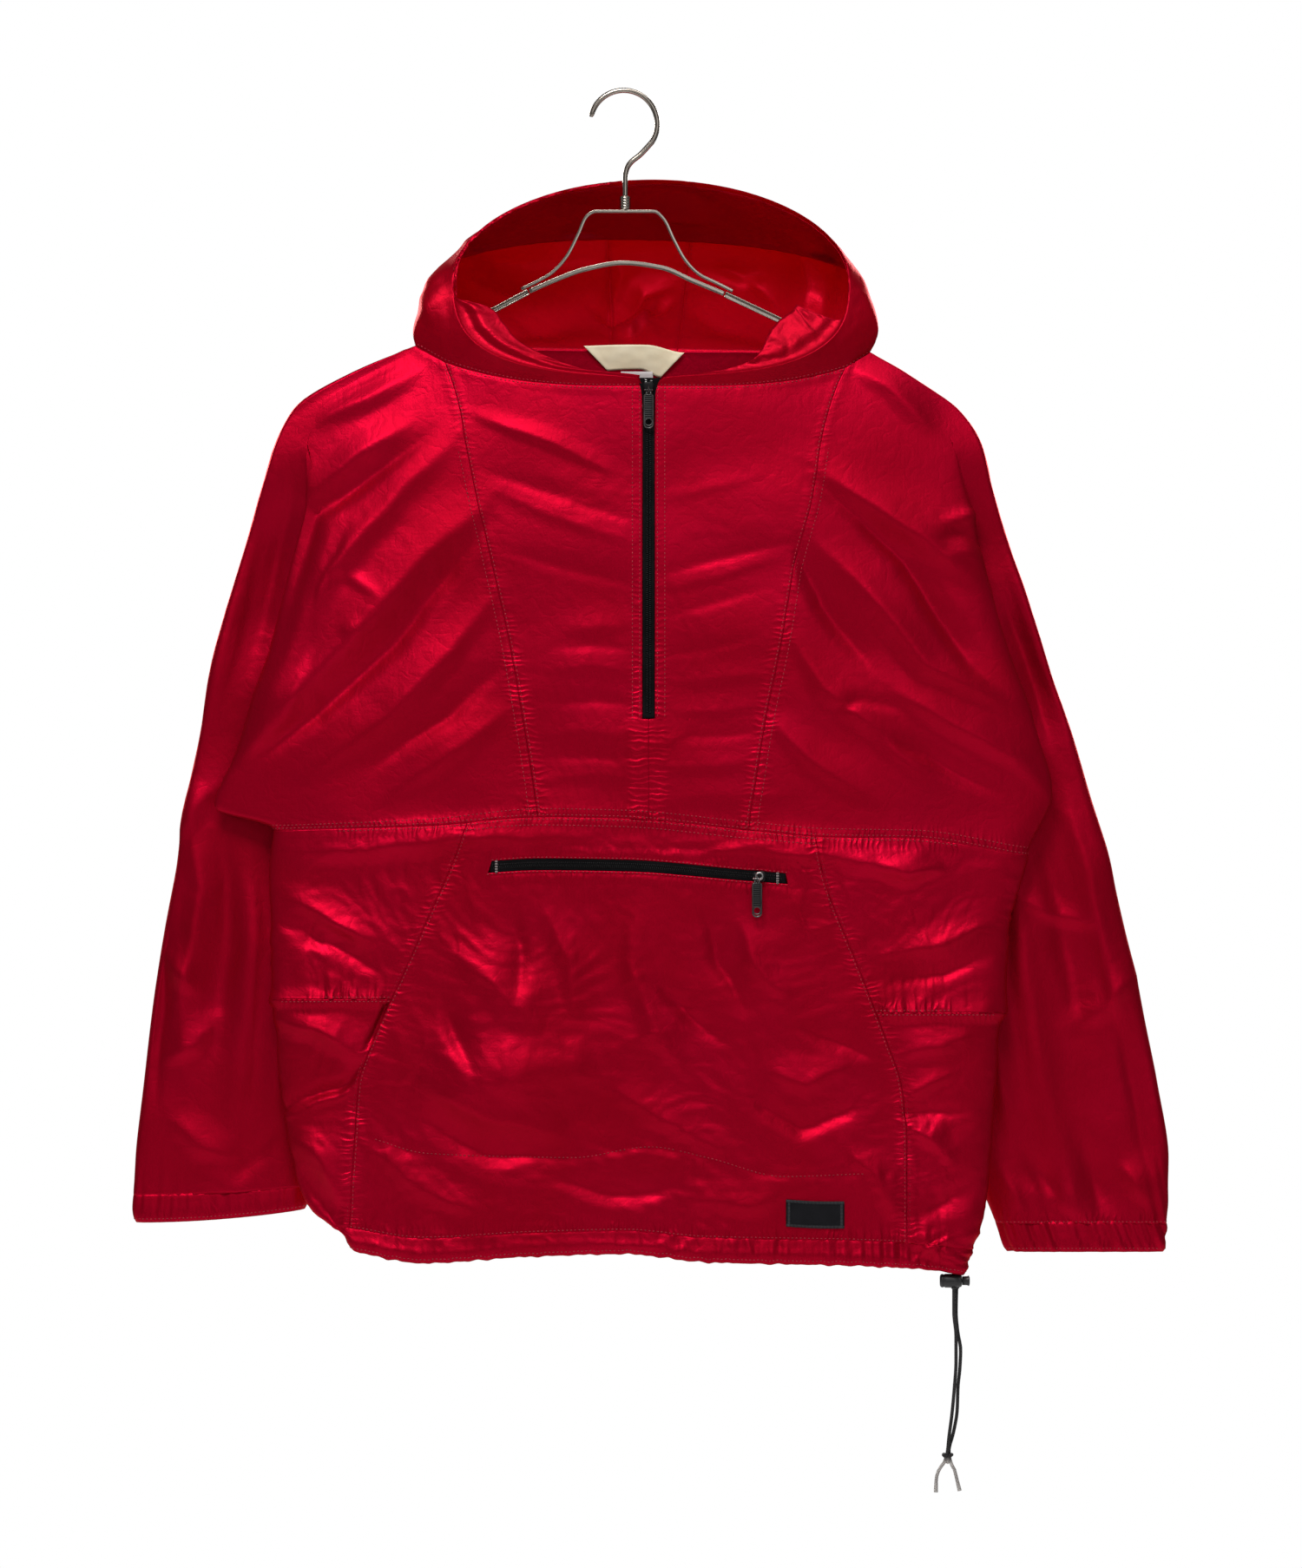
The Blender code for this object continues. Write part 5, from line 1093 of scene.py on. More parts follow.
def stitchAlong(line, normal, thread="redThread", length=2.1, pitch=3.1, width=0.30, height=0.34):
    # a row of short stitches that lie on the cloth
    line, normal = np.asarray(line, float), np.asarray(normal, float)
    far = lengthsAlong(line)
    if far[-1] < pitch * 2:
        return
    at = np.arange(pitch / 2, far[-1], pitch)
    ends = [np.stack([np.interp(at + way * length / 2, far, axis) for axis in line.T], -1) for way in (-1, 1)]
    up = unit(np.stack([np.interp(at, far, axis) for axis in normal.T], -1))
    along = ends[1] - ends[0]
    aside, back = unit(np.cross(along, up)) * width, along * 0.28
    middle = (ends[0] + ends[1]) / 2 + up * (height + hang["thickness"] / 2)
    low = [end + up * (hang["thickness"] / 2 - 0.12) for end in ends]
    under = middle - up * height * 1.2
    points = np.stack([low[0], middle - back + aside, middle - back - aside, middle + back + aside,
                       middle + back - aside, low[1], under + aside * 1.4, under - aside * 1.4], 1)
    pattern = np.array([(0, 1, 2), (1, 3, 4), (1, 4, 2), (3, 5, 4), (0, 6, 1), (6, 3, 1), (6, 5, 3), (0, 2, 7),
                        (7, 2, 4), (7, 4, 5)])
    faces = pattern[None] + np.arange(len(at))[:, None, None] * 8
    stitching[thread].append((points.reshape(-1, 3), faces.reshape(-1, 3)))


def weld(grids):
    # one list of points and faces from several grids that share border points
    points = np.concatenate([grid.reshape(-1, 3) for grid in grids])
    faces, count = [], 0
    for grid in grids:
        faces.append(gridFaces(*grid.shape[:2]) + count)
        count += grid.shape[0] * grid.shape[1]
    keys = np.round(points / 0.02).astype(np.int64)
    _, first, inverse = np.unique(keys, axis=0, return_index=True, return_inverse=True)
    inverse = inverse.reshape(-1)
    faces = inverse[np.concatenate(faces)]
    good = np.array([len(set(face)) == 4 for face in faces.tolist()])
    return points[first], faces[good], inverse


def puckerAlong(thing, grids, inverse, stitches, extra=None):
    # how strongly the finish puckers beside each seam that has a stitch row close to it
    total = {"Upright": [], "Level": []}
    for n, grid in enumerate(grids):
        away = distances(grid)
        found = {kind: np.zeros(grid.shape[:2]) for kind in total}
        for which, edge, distance, *span in stitches:
            if which != n or distance > 3:
                continue
            start, end = span or (0, 1)
            upright = edge in ("first", "last")
            at = ramp(grid.shape[0] if upright else grid.shape[1])
            inside = smooth((at - start) / 0.03 + 0.5) * smooth((end - at) / 0.03 + 0.5)
            inside = inside[:, None] if upright else inside[None]
            drop = -grid[..., 2]
            share = 0.2 + 0.8 * smooth((drop - 350) / 100) if upright else smooth((drop - 300) / 100)
            kind = "Upright" if upright else "Level"
            found[kind] = np.maximum(found[kind], share * inside * hump((away[edge] - 3) / 5.5))
        for kind in total:
            total[kind].append(found[kind].ravel())
    for kind, values in total.items():
        values = np.concatenate(values)
        if extra:
            values = np.maximum(values, extra[kind].ravel())
        spread = np.zeros(len(thing.data.vertices))
        np.maximum.at(spread, inverse, values)
        thing.data.attributes.new("pucker" + kind, "FLOAT", "POINT").data.foreach_set("value", spread)


def hangCloth(name, node, grids, reliefs, outward, stitches=(), held="hung",
              rests=("hanger_arm_right", "hanger_arm_left"), extra=None, slotName="shell", material="shellNylon"):
    # grids share their border points; outward is -1 where their rows and columns turn the face inwards
    points, faces, inverse = weld(grids)
    corner = points[faces]
    facing = np.cross(corner[:, 2] - corner[:, 0], corner[:, 3] - corner[:, 1])
    normal = np.zeros(points.shape)
    for n in range(4):
        np.add.at(normal, faces[:, n], facing)
    normal *= outward / np.maximum(np.linalg.norm(normal, axis=1, keepdims=True), 1e-9)
    height = np.bincount(inverse, np.concatenate([values.ravel() for values in reliefs])) / np.bincount(inverse)
    points = points + normal * height[:, None]
    thing = meshObject(name, points, faces if outward > 0 else faces[:, ::-1], material, node, slotName,
                       wall=hang["thickness"])
    puckerAlong(thing, grids, inverse, stitches if material == "shellNylon" else (), extra)
    start = 0
    for n, grid in enumerate(grids):
        size = grid.shape[0] * grid.shape[1]
        moved = points[inverse[start:start + size]].reshape(grid.shape)
        ups = normal[inverse[start:start + size]].reshape(grid.shape)
        start += size
        for which, edge, distance, *span in stitches:
            if which == n:
                line, up = edgeLine(moved, edge, distance), edgeLine(ups, edge, distance)
                a, b = (int(round(v * (len(line) - 1))) for v in span or (0, 1))
                stitchAlong(line[a:b + 1], up[a:b + 1])


# ---- rows down and across the garment
outwardOf = {"right": 1, "left": -1}


def stretch(a, b, spacing, wide=None, **ends):
    # from a to b, closer together beside the sewn ends; wide is the cloth's real width between them
    return a + (b - a) * edged(wide or b - a, spacing, **ends)


def xAndDrop(grid):
    return grid[..., 0], -grid[..., 2]


def rowsFor(side, drops):
    # the sleeve table's rows at these drops, as a column from the neck seam to the underarm
    fine = np.linspace(0, sleeves["underarmRow"], 400)
    rows = np.interp(drops, sleeveRow(side, fine)["frontDrop"], fine)[:, None]
    rows[0], rows[-1] = 0.0, sleeves["underarmRow"]
    return rows


def sleeveGrids(side):
    table = sleeveTables[side]
    rows = rowsFor(side, stretch(table["frontDrop"][0], form["chestDrop"], 2.9))
    backShares = np.append(stretch(0, 0.5, 4.5, 80.0, last=False), np.linspace(0.5, 1, 18)[1:])[None]
    roundShares = ramp(111)[None]
    frontShares = np.append(np.linspace(0, 0.5, 34), stretch(0.5, 1, 2.6, 180.0, first=False)[1:])[None]
    parts = [sleevePoints(side, rows, "back", backShares), sleevePoints(side, rows, "round", roundShares)[:, 1:],
             sleevePoints(side, rows, "front", frontShares)[:, 1:]]
    upper = np.concatenate(parts, axis=1)
    x, drop = xAndDrop(upper)
    share = np.concatenate([backShares, roundShares[:, 1:], frontShares[:, 1:]], axis=1)
    nBack, nRound = parts[0].shape[1], parts[1].shape[1]
    column = np.arange(upper.shape[1])
    inBack, inFront = column < nBack, column >= nBack + nRound
    fold, turned = smooth((rows - 3) / 2), smooth((share - 0.46) / 0.08)
    frontWeight = np.where(inFront, 1 - fold * (1 - smooth((share - 0.30) / 0.12)), turned * (1 - fold))
    armWeight = np.where(inFront | inBack, 0.0, turned * fold)
    backWeight = np.where(inFront, 0.0, np.where(inBack, 1.0, 1 - turned))
    heights = (frontWeight * frontRelief(x, drop) + armWeight * armRelief(side, x, drop)
               + backWeight * backRelief(x, drop))
    # hidden cloth behind the fold stays close to its own line, and so does the underarm
    heights = heights * (1 - 0.97 * fold * hump((share - 0.5) / 0.09) * ~(inBack | inFront)[None])
    seam = sewn(upper, {"first": (0.35, 9.0), "last": (0.62, 11.0), "top": (0.45, 9.0)})
    chest = sewn(upper, {"bottom": (0.60, 11.0)})
    onBody = np.where(inBack, 1.0, np.where(inFront, smooth((share - 0.30) / 0.08), 0.0))
    heights = heights * (0.25 + 0.75 * smooth(distances(upper)["top"] / 10)) + seam + chest * onBody
    # the tube below the underarm
    tableRows = np.arange(sleeves["underarmRow"], sleeves["cuffRow"] + 1)
    outer = table["outerDrop"][tableRows]
    tubeRows = np.interp(np.linspace(outer[0], outer[-1], 100), outer, tableRows)[:, None]
    below = sleevePoints(side, tubeRows, "round", roundShares)
    below[0] = upper[-1, nBack - 1:nBack + nRound]
    x, drop = xAndDrop(below)
    facing = smooth((roundShares - 0.46) / 0.08)
    ends = smooth(np.minimum(roundShares, 1 - roundShares) / 0.06)
    hidden = 1 - 0.97 * hump((roundShares - 0.5) / 0.09)
    tubeHeights = (facing * armRelief(side, x, drop) + (1 - facing) * backRelief(x, drop)) * ends * hidden
    toCuff = distances(below)["bottom"]
    gathered = cuffGathers(side, x, toCuff) * np.exp(-toCuff / (26 if side == "left" else 16))
    tubeHeights = tubeHeights * (0.35 + 0.65 * smooth(toCuff / 30)) + gathered * ends
    tubeHeights += sewn(below, {"bottom": (0.5, 10.0)})
    tubeHeights[0] = heights[-1, nBack - 1:nBack + nRound]
    return [upper, below], [heights, tubeHeights]


for side, outward in outwardOf.items():
    hangCloth("sleeve" + side.capitalize(), "sleeve_" + side, *sleeveGrids(side), outward,
              [(0, "last", 1.7), (0, "last", 6.2), (0, "first", 1.7), (0, "bottom", 1.7, 0.62, 1),
               (0, "bottom", 6.2, 0.62, 1)] + ([(1, "bottom", 1.7)] if side == "left" else []))
print("sleeves hung")


# ---- the two centre fronts and the upper back
def hangUpper():
    # from the neck seam to the chest seam
    upperDrops = (sleeves["right"]["frontDrop"][0], form["chestDrop"])
    fine = np.linspace(0, sleeves["underarmRow"], 900)
    middle = -upperPoints(fine, frontShare(fine, zips["frontAt"]), "front")[:, 2]
    endRow = float(np.interp(zips["frontEnd"], middle, fine))
    rows = rowsFor("right", stretch(*upperDrops, 2.2))
    rows = np.sort(np.append(rows, [endRow - 0.004, endRow + 0.004]))[:, None]
    half = np.where(rows < endRow, zips["frontHalf"], 0.0)
    slotEdge = 1 - smooth((rows - endRow) * 60)
    last = int(np.argmin(np.abs(rows[:, 0] - endRow))) / (len(rows) - 1)
    for name, seamShare, way in (("Right", 0.0, -1), ("Left", 1.0, 1)):
        shares = edged(140.0, 2.1)[None]
        grid = upperPoints(rows, mix(seamShare, frontShare(rows, zips["frontAt"] + way * half), shares), "front")
        seamSide, zipSide = "first", "last"
        if way > 0:
            grid, seamSide, zipSide = grid[:, ::-1], zipSide, seamSide
        x, drop = xAndDrop(grid)
        heights = frontRelief(x, drop) * (0.3 + 0.7 * smooth(distances(grid)["top"] / 10))
        heights += sewn(grid, {seamSide: (0.62, 11.0), "top": (0.4, 8.0), "bottom": (0.60, 11.0)})
        heights += slotEdge * sewn(grid, {zipSide: (0.45, 10.0, 0.8)})
        # the stitched placket below the zip
        x = x - 17.5
        box = hump((x + 3) / 12, 6) * smooth((drop - 470) / 3) * (1 - smooth((drop - 496) / 3))
        lower = hump((x - 5) / 22, 6) * smooth((drop - 474) / 6)
        heights += 0.7 * box + 0.5 * lower * (1 + 1.3 * waver(x / 30, drop / 6.5, 41))
        upright = np.maximum(lower * hump((np.abs(x - 1) - 6) / 9, 4), 0.0)
        hangCloth("centreFront" + name, "front_centre_" + name.lower(), [grid], [heights], 1,
                  [(0, zipSide, 2.0, 0, last), (0, zipSide, 7.5, 0, last), (0, seamSide, 1.7), (0, "bottom", 1.7),
                   (0, "bottom", 6.2), (0, "top", 1.8)], extra={"Upright": upright, "Level": 0.0 * lower})
    grid = upperPoints(rowsFor("right", stretch(*upperDrops, 4.0)), edged(250.0, 4.2)[None], "back")
    heights = backRelief(*xAndDrop(grid)) * (0.15 + 0.85 * smooth((distances(grid)["top"] - 12) / 40))
    heights += sewn(grid, {"first": (0.35, 9.0), "last": (0.35, 9.0), "top": (0.2, 8.0), "bottom": (0.4, 10.0)})
    hangCloth("upperBack", "back_upper", [grid], [heights], -1,
              [(0, "first", 1.7), (0, "last", 1.7), (0, "bottom", 1.7), (0, "bottom", 6.2)])


hangUpper()
print("fronts and upper back hung")


# ---- the pouch panel with its zip slot, the side panels, lower back and hem casing
def hangPouch():
    at, half, ends = zips["pocketDrop"], zips["pocketHalf"], zips["pocketEnds"]
    above = stretch(form["chestDrop"], at - half, 2.1)
    drops = np.append(above, stretch(at + half, form["hemSeamDrop"], 2.15))[:, None]
    right, left = (bodySizes(side, at)[2] for side in ("right", "left"))
    first, last = ((x - right) / (left - right) for x in ends)
    parts = [stretch(0, first, 2.2, first * 400.0), between([first, last], 2.2 / 280)[1:],
             stretch(last, 1, 2.2, (1 - last) * 400.0)[1:]]
    grid = pouchPoints(drops, np.concatenate(parts)[None])
    x, drop = xAndDrop(grid)
    heights = frontRelief(x, drop)
    heights += sewn(grid, {"top": (0.75, 14.0), "bottom": (0.55, 12.0), "first": (0.6, 12.0), "last": (0.6, 12.0)})
    inZip = smooth((x - ends[0] + 3) / 4) * (1 - smooth((x - ends[1] - 1) / 4))
    off = np.maximum(np.abs(drop - at - pocketSag(x)) - half, 0.0)
    heights += inZip * (0.5 * (1 - smooth((off - 7) / 2)) - 0.35 * hump((off - 2) / 0.8)
                        + 0.75 * waver(x / 6.0, off / 20, 31) * hump(off / 12, 1.4) * smooth(off / 3))
    # the stitched lower edge of the pocket bag, and the hem's gathers reaching up
    bag = bagRow(x)
    heights = heights - 0.35 * hump((drop - bag) / 2.0) + 0.7 * waver(x / 6, drop / 16, 33) * hump((drop - bag - 2) / 9)
    toHem = distances(grid)["bottom"]
    heights += hemGathers(x, toHem) * np.exp(-toHem / 16)
    # the slot is one row of faces left out between the zip's ends
    row, a = len(above) - 1, len(parts[0]) - 1
    b = a + len(parts[1])
    keep = np.ones((grid.shape[0] - 1, grid.shape[1] - 1), bool)
    keep[row, a:b] = False
    normal = gridNormals(grid)
    moved = grid + normal * heights[..., None]
    faces = gridFaces(*grid.shape[:2])[keep.ravel()]
    thing = meshObject("pouchPanel", moved, faces, "shellNylon", "pouch_panel", "shell", wall=hang["thickness"])
    seams = [(0, "top", 1.7), (0, "top", 6.2), (0, "bottom", 1.7), (0, "first", 1.7), (0, "last", 1.7)]
    for _, edge, distance in seams:
        stitchAlong(edgeLine(moved, edge, distance), edgeLine(normal, edge, distance))
    zipSides = inZip * smooth(off / 2) * hump(off / 8)
    puckerAlong(thing, [grid], np.arange(x.size), seams, {"Upright": 0 * zipSides, "Level": zipSides})
    for base in (row - 1, row + 2):
        # a row of stitching beside the zip on each side
        stitchAlong(moved[base, a - 2:b + 3], normal[base, a - 2:b + 3])
    x, drop = xAndDrop(moved)
    line, ups = [], []
    for bx in np.linspace(-186, 180, 120):
        bd = float(bagRow(bx))
        near = np.unravel_index(np.argmin((x - bx) ** 2 + (drop - bd) ** 2), x.shape)
        line.append((bx, moved[near][1], -bd))
        ups.append(normal[near])
    stitchAlong(line, ups)


def hangSide(side, name, start, end, long, edges):
    shares = np.append(np.linspace(0, 0.5, 26), stretch(0.5, 1, 2.1, long, first=False)[1:])[None]
    grid = sidePoints(side, stretch(start, end, 2.3)[:, None], shares)
    x, drop = xAndDrop(grid)
    shown, away = smooth((shares - 0.26) / 0.14), distances(grid)
    d, inward = away["bottom"], smooth(away["last"] / 12)
    heights = shown * frontRelief(x, drop)
    heights += shown * sewn(grid, {edge: (pucker, 13.0) for edge, pucker in edges.items()})
    rows = [(0, "last", 1.7, 0.2 if name + side == "Lowerright" else 0, 1), (0, "top", 1.7, 0.4, 1)]
    if name == "Upper":
        heights += shown * (1.6 * waver(x / 5.5, d / 60, 58) * np.exp(-d / 14) + 4.5 * np.exp(-d / 14) * inward)
        rows.append((0, "bottom", 1.7, 0.4, 1))
    else:
        heights += shown * hemGathers(x, d) * np.exp(-d / 16)
        heights += shown * 4.5 * hump(away["top"] / 6) * inward
    if name + side == "Lowerright":
        # the hand-pocket's slit beside the pouch
        slit = hump((x - (-177.0 - 14.0 * (drop - 684) / 32)) / 2.7, 4)
        heights -= 5.0 * slit * smooth((drop - 681) / 4) * (1 - smooth((drop - 708) / 12))
    hangCloth(f"side{name}{side.capitalize()}", f"side_{name.lower()}_{side}", [grid], [heights], outwardOf[side], rows)


def hangLowerBack():
    turns = ramp(18)
    shares = np.concatenate([turns, 1 + ramp(104)[1:], 2 + turns[1:]])[None]
    grid = backPoints(stretch(form["chestDrop"], form["hemSeamDrop"], 4.4)[:, None], shares)
    x, drop = xAndDrop(grid)
    toHem = distances(grid)["bottom"]
    heights = backRelief(x, drop) * smooth(np.minimum(shares, 3 - shares) / 0.5)
    heights += 1.4 * waver(x / 12.0, toHem / 70, 57) * np.exp(-toHem / 18)
    beside = (0.4, 9.0, 0.6)
    heights += sewn(grid, {"top": (0.5, 12.0), "bottom": (0.5, 10.0), "first": beside, "last": beside})
    hangCloth("lowerBack", "back_lower", [grid], [heights], -1, [(0, "top", 1.7), (0, "top", 6.2), (0, "bottom", 1.7)])


def hangHem():
    down = ramp(13)[:, None]
    drops = np.linspace(form["hemSeamDrop"] - 1.4, form["hemDrop"], 13)[:, None]
    sideShares = np.append(np.linspace(0, 0.5, 26), 0.5 + 0.5 * ramp(20)[1:])[None]
    turns = ramp(16)
    backShares = np.concatenate([turns, 1 + ramp(140)[1:], 2 + turns[1:]])[None]
    parts = [sidePoints("right", drops, sideShares)[:, :-1], pouchPoints(drops, ramp(280)[None]),
             sidePoints("left", drops, sideShares[:, ::-1])[:, 1:], backPoints(drops, backShares[:, ::-1])[:, 1:]]
    ring = np.concatenate(parts, axis=1)
    x, drop = xAndDrop(ring)
    front = (np.arange(ring.shape[1]) < ring.shape[1] - parts[-1].shape[1])[None]
    gathers = np.where(front, 1.25 * hemGathers(x, -18 * down), 1.4 * waver(x / 12.0, -18 * down / 70, 57))
    gathers = gathers + 0.5 * down * waver(x / 3.4, drop / 20, 61)
    heights = (1.0 * np.sin(math.pi * down ** 1.3) - 1.2 * smooth((down - 0.86) / 0.14) + gathers * (0.8 + 0.4 * down)
               + 0.7 * hump((down - 0.62) / 0.16))
    heights += np.where(front, frontRelief(x, drop), backRelief(x, drop)) * (1 - 0.4 * down)
    heights -= 0.6 * (1 - smooth(down / 0.10))
    ring[..., 2] -= 1.2 * down ** 2 * waver(x / 7.5, 0 * x, 66)
    ring, heights = (np.concatenate([values, values[:, :1]], axis=1) for values in (ring, heights))
    hangCloth("hemCasing", "hem_casing", [ring], [heights], 1, [(0, "bottom", 3.4)], rests=("pouchPanel", "lowerBack"))


def hangCuffs():
    down = ramp(12)[:, None]
    for side, outward in outwardOf.items():
        rows = np.linspace(sleeves["cuffRow"] - 0.08, sleeves["endRow"], 12)[:, None]
        grid = sleevePoints(side, rows, "round", ramp(210)[None])
        gathers = cuffGathers(side, grid[..., 0], -19 * down)
        heights = 0.9 * np.sin(math.pi * down ** 1.3) + gathers * (1 - 0.2 * down) - 0.9 * smooth((down - 0.85) / 0.15)
        heights -= 0.6 * (1 - smooth(down / 0.10))
        heights[:, -1] = heights[:, 0]
        name = side.capitalize()
        hangCloth("cuff" + name, "cuff_" + side, [grid], [heights], outward, [(0, "bottom", 3.0)], "gathered",
                  ("sleeve" + name,))


hangPouch()
for side in ("right", "left"):
    split = body["sideSeam"][side]
    hangSide(side, "Upper", form["chestDrop"], split, 150.0, {"top": 0.6, "bottom": 0.9, "last": 0.6})
    hangSide(side, "Lower", split, form["hemSeamDrop"], 60.0, {"top": 0.35, "bottom": 0.6, "last": 0.6})
hangLowerBack()
hangHem()
hangCuffs()
print("body, hem and cuffs hung")

# ---- hood: two sides, a centre strip, the turned-in rim and the facing inside the brim
brim = {
    # how far the edge is turned in at a share of the way round the rim, in millimetres
    "turnShares": (0, 0.05, 0.09, 0.12, 0.15, 0.18, 0.205, 0.222, 0.23, 0.238, 0.5, 0.785, 0.8, 0.82, 0.845, 0.87, 0.9,
                   0.94, 1),
    "turnWidths": (1, 9, 18, 23, 27, 31, 31, 24, 12, 0.3, 0.3, 0.3, 6, 24, 40, 37, 24, 9, 1),
    "facingSpan": (0.27, 0.77),
}


def rimTurn(s, w):
    # cloth folded in behind the rim; w is 0 at the rim and 1 at its inner edge
    width = pchip(brim["turnShares"], brim["turnWidths"], s)
    rim, into = hoodPoints(s, 0.0 * s), hoodPoints(s, 0.0 * s + 0.05)
    aside = smooth((s - 0.78) / 0.03) * (1 - smooth((s - 0.86) / 0.04))
    inward = unit(stack(mix(hood["rimCentre"][0], 118.0, aside), -6.0 + 0 * s, -mix(147.0, 140.0, aside)) - rim)
    reach = (w * width)[..., None]
    return rim + inward * reach * (0.25 + 0.75 * smooth(reach / 9.0)) + unit(into - rim) * reach * 0.05 + (
        2.2 * np.sin(math.pi * np.clip(reach / 14, 0, 1)) + 0.04 * reach) * (0, 1.0, 0)


def hangHood():
    start, end = hood["stripShares"]
    for name, node, first, last, spacing, long in (("Right", "hood_side_right", 0.0, start, 2.1, 330.0),
                                                   ("Centre", "hood_centre", start, end, 2.3, 62.0),
                                                   ("Left", "hood_side_left", end, 1.0, 2.1, 330.0)):
        shares = stretch(first, last, spacing, long)
        depths = np.append(np.linspace(0, 0.12, 8), np.linspace(0.12, 1.0, 58)[1:])[:, None]
        outer = hoodPoints(shares[None], depths)
        x, drop = xAndDrop(outer)
        away = distances(outer)
        size = away["top"][-1:]
        loose = smooth(away["top"] / 14) * smooth(away["bottom"] / 12) * smooth((size - 6) / 50)
        heights = hoodRelief(x, outer[..., 1], drop) * loose
        heights -= 0.3 * waver(x / 8.5, drop / 8.5, 62) * hump((away["top"] - 9) / 8) * smooth(size / 18)
        sides = ["last"] * (name != "Left") + ["first"] * (name != "Right")
        seams = sewn(outer, {"bottom": (0.4, 8.0), **{edge: (0.45, 9.0) for edge in sides}})
        heights -= seams * smooth((size - 4) / 12)
        grids, reliefs = [outer], [heights]
        if name != "Centre":
            # the front of the rim is turned in as one piece with its side
            s, w = shares[None], np.linspace(1, 0, 17)[:-1, None]
            inner = rimTurn(s, w)
            width = pchip(brim["turnShares"], brim["turnWidths"], s)
            ripple = crumple(*xAndDrop(inner), 720, 0.8, ((17.0, 1.2), (8.5, 0.6))) * smooth(w * width / 14)
            ripple = ripple * np.where(s > 0.5, 2.2, 0.5) + np.where(s > 0.5, 0.0, 2.5) * hump((w - 0.55) / 0.2)
            grids, reliefs = [np.append(inner, outer[:1], 0), outer], [np.append(ripple, heights[:1], 0), heights]
        part = len(grids) - 1
        hangCloth("hood" + name, node, grids, reliefs, -1,
                  [(part, "bottom", 1.8, 0.02, 0.98)] + [(part, edge, 1.8) for edge in sides],
                  rests=("upperBack", "sleeveRight", "sleeveLeft"), material="hoodNylon")
    # the second layer inside the top of the brim
    start, end = brim["facingSpan"]
    shares = np.linspace(start, end, 190)[None]
    reach = (shares - start) / (end - start)
    deep = 0.07 + hood["facingDepth"] * np.sin(math.pi * np.clip(reach, 0.0001, 0.9999)) ** 0.7
    grid = hoodPoints(shares, 0.012 + ramp(34)[:, None] * deep)
    grid = grid + gridNormals(grid) * 2.0
    x, drop = xAndDrop(grid)
    away = distances(grid)
    heights = -(hoodRelief(x, grid[..., 1], drop) * smooth(away["top"] / 14) * smooth(away["bottom"] / 6) * 0.9)
    heights += 0.7 * waver(x / 9, drop / 9, 63) * hump((away["top"] - 6) / 9)
    heights += 0.6 * waver(x / 8, drop / 8, 64) * hump(away["bottom"] / 9)
    hangCloth("hoodFacing", "hood_facing", [grid], [-heights], -1, rests=("hoodRight", "hoodLeft", "hoodCentre"),
              slotName="facing", material="facingNylon")


hangHood()
print("hood hung")

# ---- labels, left bare, and the hem patch with its stitched border
labels = {
    "neck": {"corners": ((-30, 189.0), (46, 189.5), (28, 207.5), (-12, 207.5)), "lift": 1.3},
    "care": {"x": (-2.0, 22.0), "drop": (208.0, 236.0), "lift": 1.2},
    "patch": {"x": (121.5, 165.0), "drop": (830.0, 850.0), "lift": 0.9},
}


def backFace(x, drop):
    # y of the inside of the upper back
    return backY(x, drop) + backRelief(x, drop) * 0.15


def frontFace(x, drop):
    # y of the outside of the front
    return frontY(x, drop) - frontRelief(x, drop)


def sewLabel(name, node, x, drop, y, finish, thickness, flat, **held):
    label = meshObject(name, stack(x, y, -drop), None, finish, node, node, wall=thickness)


def hangLabels():
    size = labels["neck"]
    down, across = ramp(13)[:, None], ramp(60)
    (ax, top), (bx, _), (cx, bottom), (dx, _) = size["corners"]
    x = mix(mix(ax, dx, down), mix(bx, cx, down), across)
    drop = mix(top, bottom, down) + 5.0 * smooth((across - 0.62) / 0.38) - 1.2 * np.sin(math.pi * across)
    tuck = smooth((0.10 - across) / 0.10) + smooth((across - 0.90) / 0.10)
    y = backFace(x, drop) - size["lift"] - 1.6 * tuck * (1 - down) - 0.8 * np.sin(math.pi * down)
    sewLabel("neckLabel", "neck_label", x, drop, y - 0.35 * waver(x / 12, drop / 7, 90), "creamSatin", 0.35,
             (0.078, 0.0195), held="stretched", rests_on=("upperBack",), area=0.00112)
    size = labels["care"]
    x = mix(*size["x"], across) + 1.5 * down
    drop = mix(*size["drop"], down)
    curl = 1.6 * down ** 2 * np.cos(math.pi * across * 1.2)
    y = backFace(x, drop) - size["lift"] - 1.0 - curl - 2.0 * down
    sewLabel("careLabel", "care_label", x, drop, y, "careCloth", 0.3, (0.024, 0.029), held="hung",
             rests_on=("upperBack",))
    size = labels["patch"]
    wide, high = np.ptp(size["x"]), np.ptp(size["drop"])
    down, across = ramp(22)[:, None], ramp(44)
    x = mix(*size["x"], across)
    drop = mix(*size["drop"], down) + 0.6 * np.sin(math.pi * across) + 0.035 * (x - 143)
    edge = np.minimum(np.minimum(across, 1 - across) * wide, np.minimum(down, 1 - down) * high)
    y = frontFace(x, drop) - size["lift"] - 0.25 * (1 - smooth((edge - 1.0) / 1.0)) + 0.5 * (edge < 0.2)
    sewLabel("hemPatch", "hem_patch", x, drop, y, "patchWeave", 0.5, (0.0445, 0.0208), held="stretched",
             rests_on=("pouchPanel",))
    points = stack(x, y, -drop)
    front = np.broadcast_to(np.array([0.0, -1.0, 0.0]), points.shape)
    for line, up in ((points[1], front[1]), (points[-2], front[-2]), (points[:, 2], front[:, 2]),
                     (points[:, -3], front[:, -3])):
        # satin stitch: close threads across the border
        stitchAlong(line, up, "patchThread", 0.55, 0.85, 0.9, 0.22)


hangLabels()
print("labels sewn in")

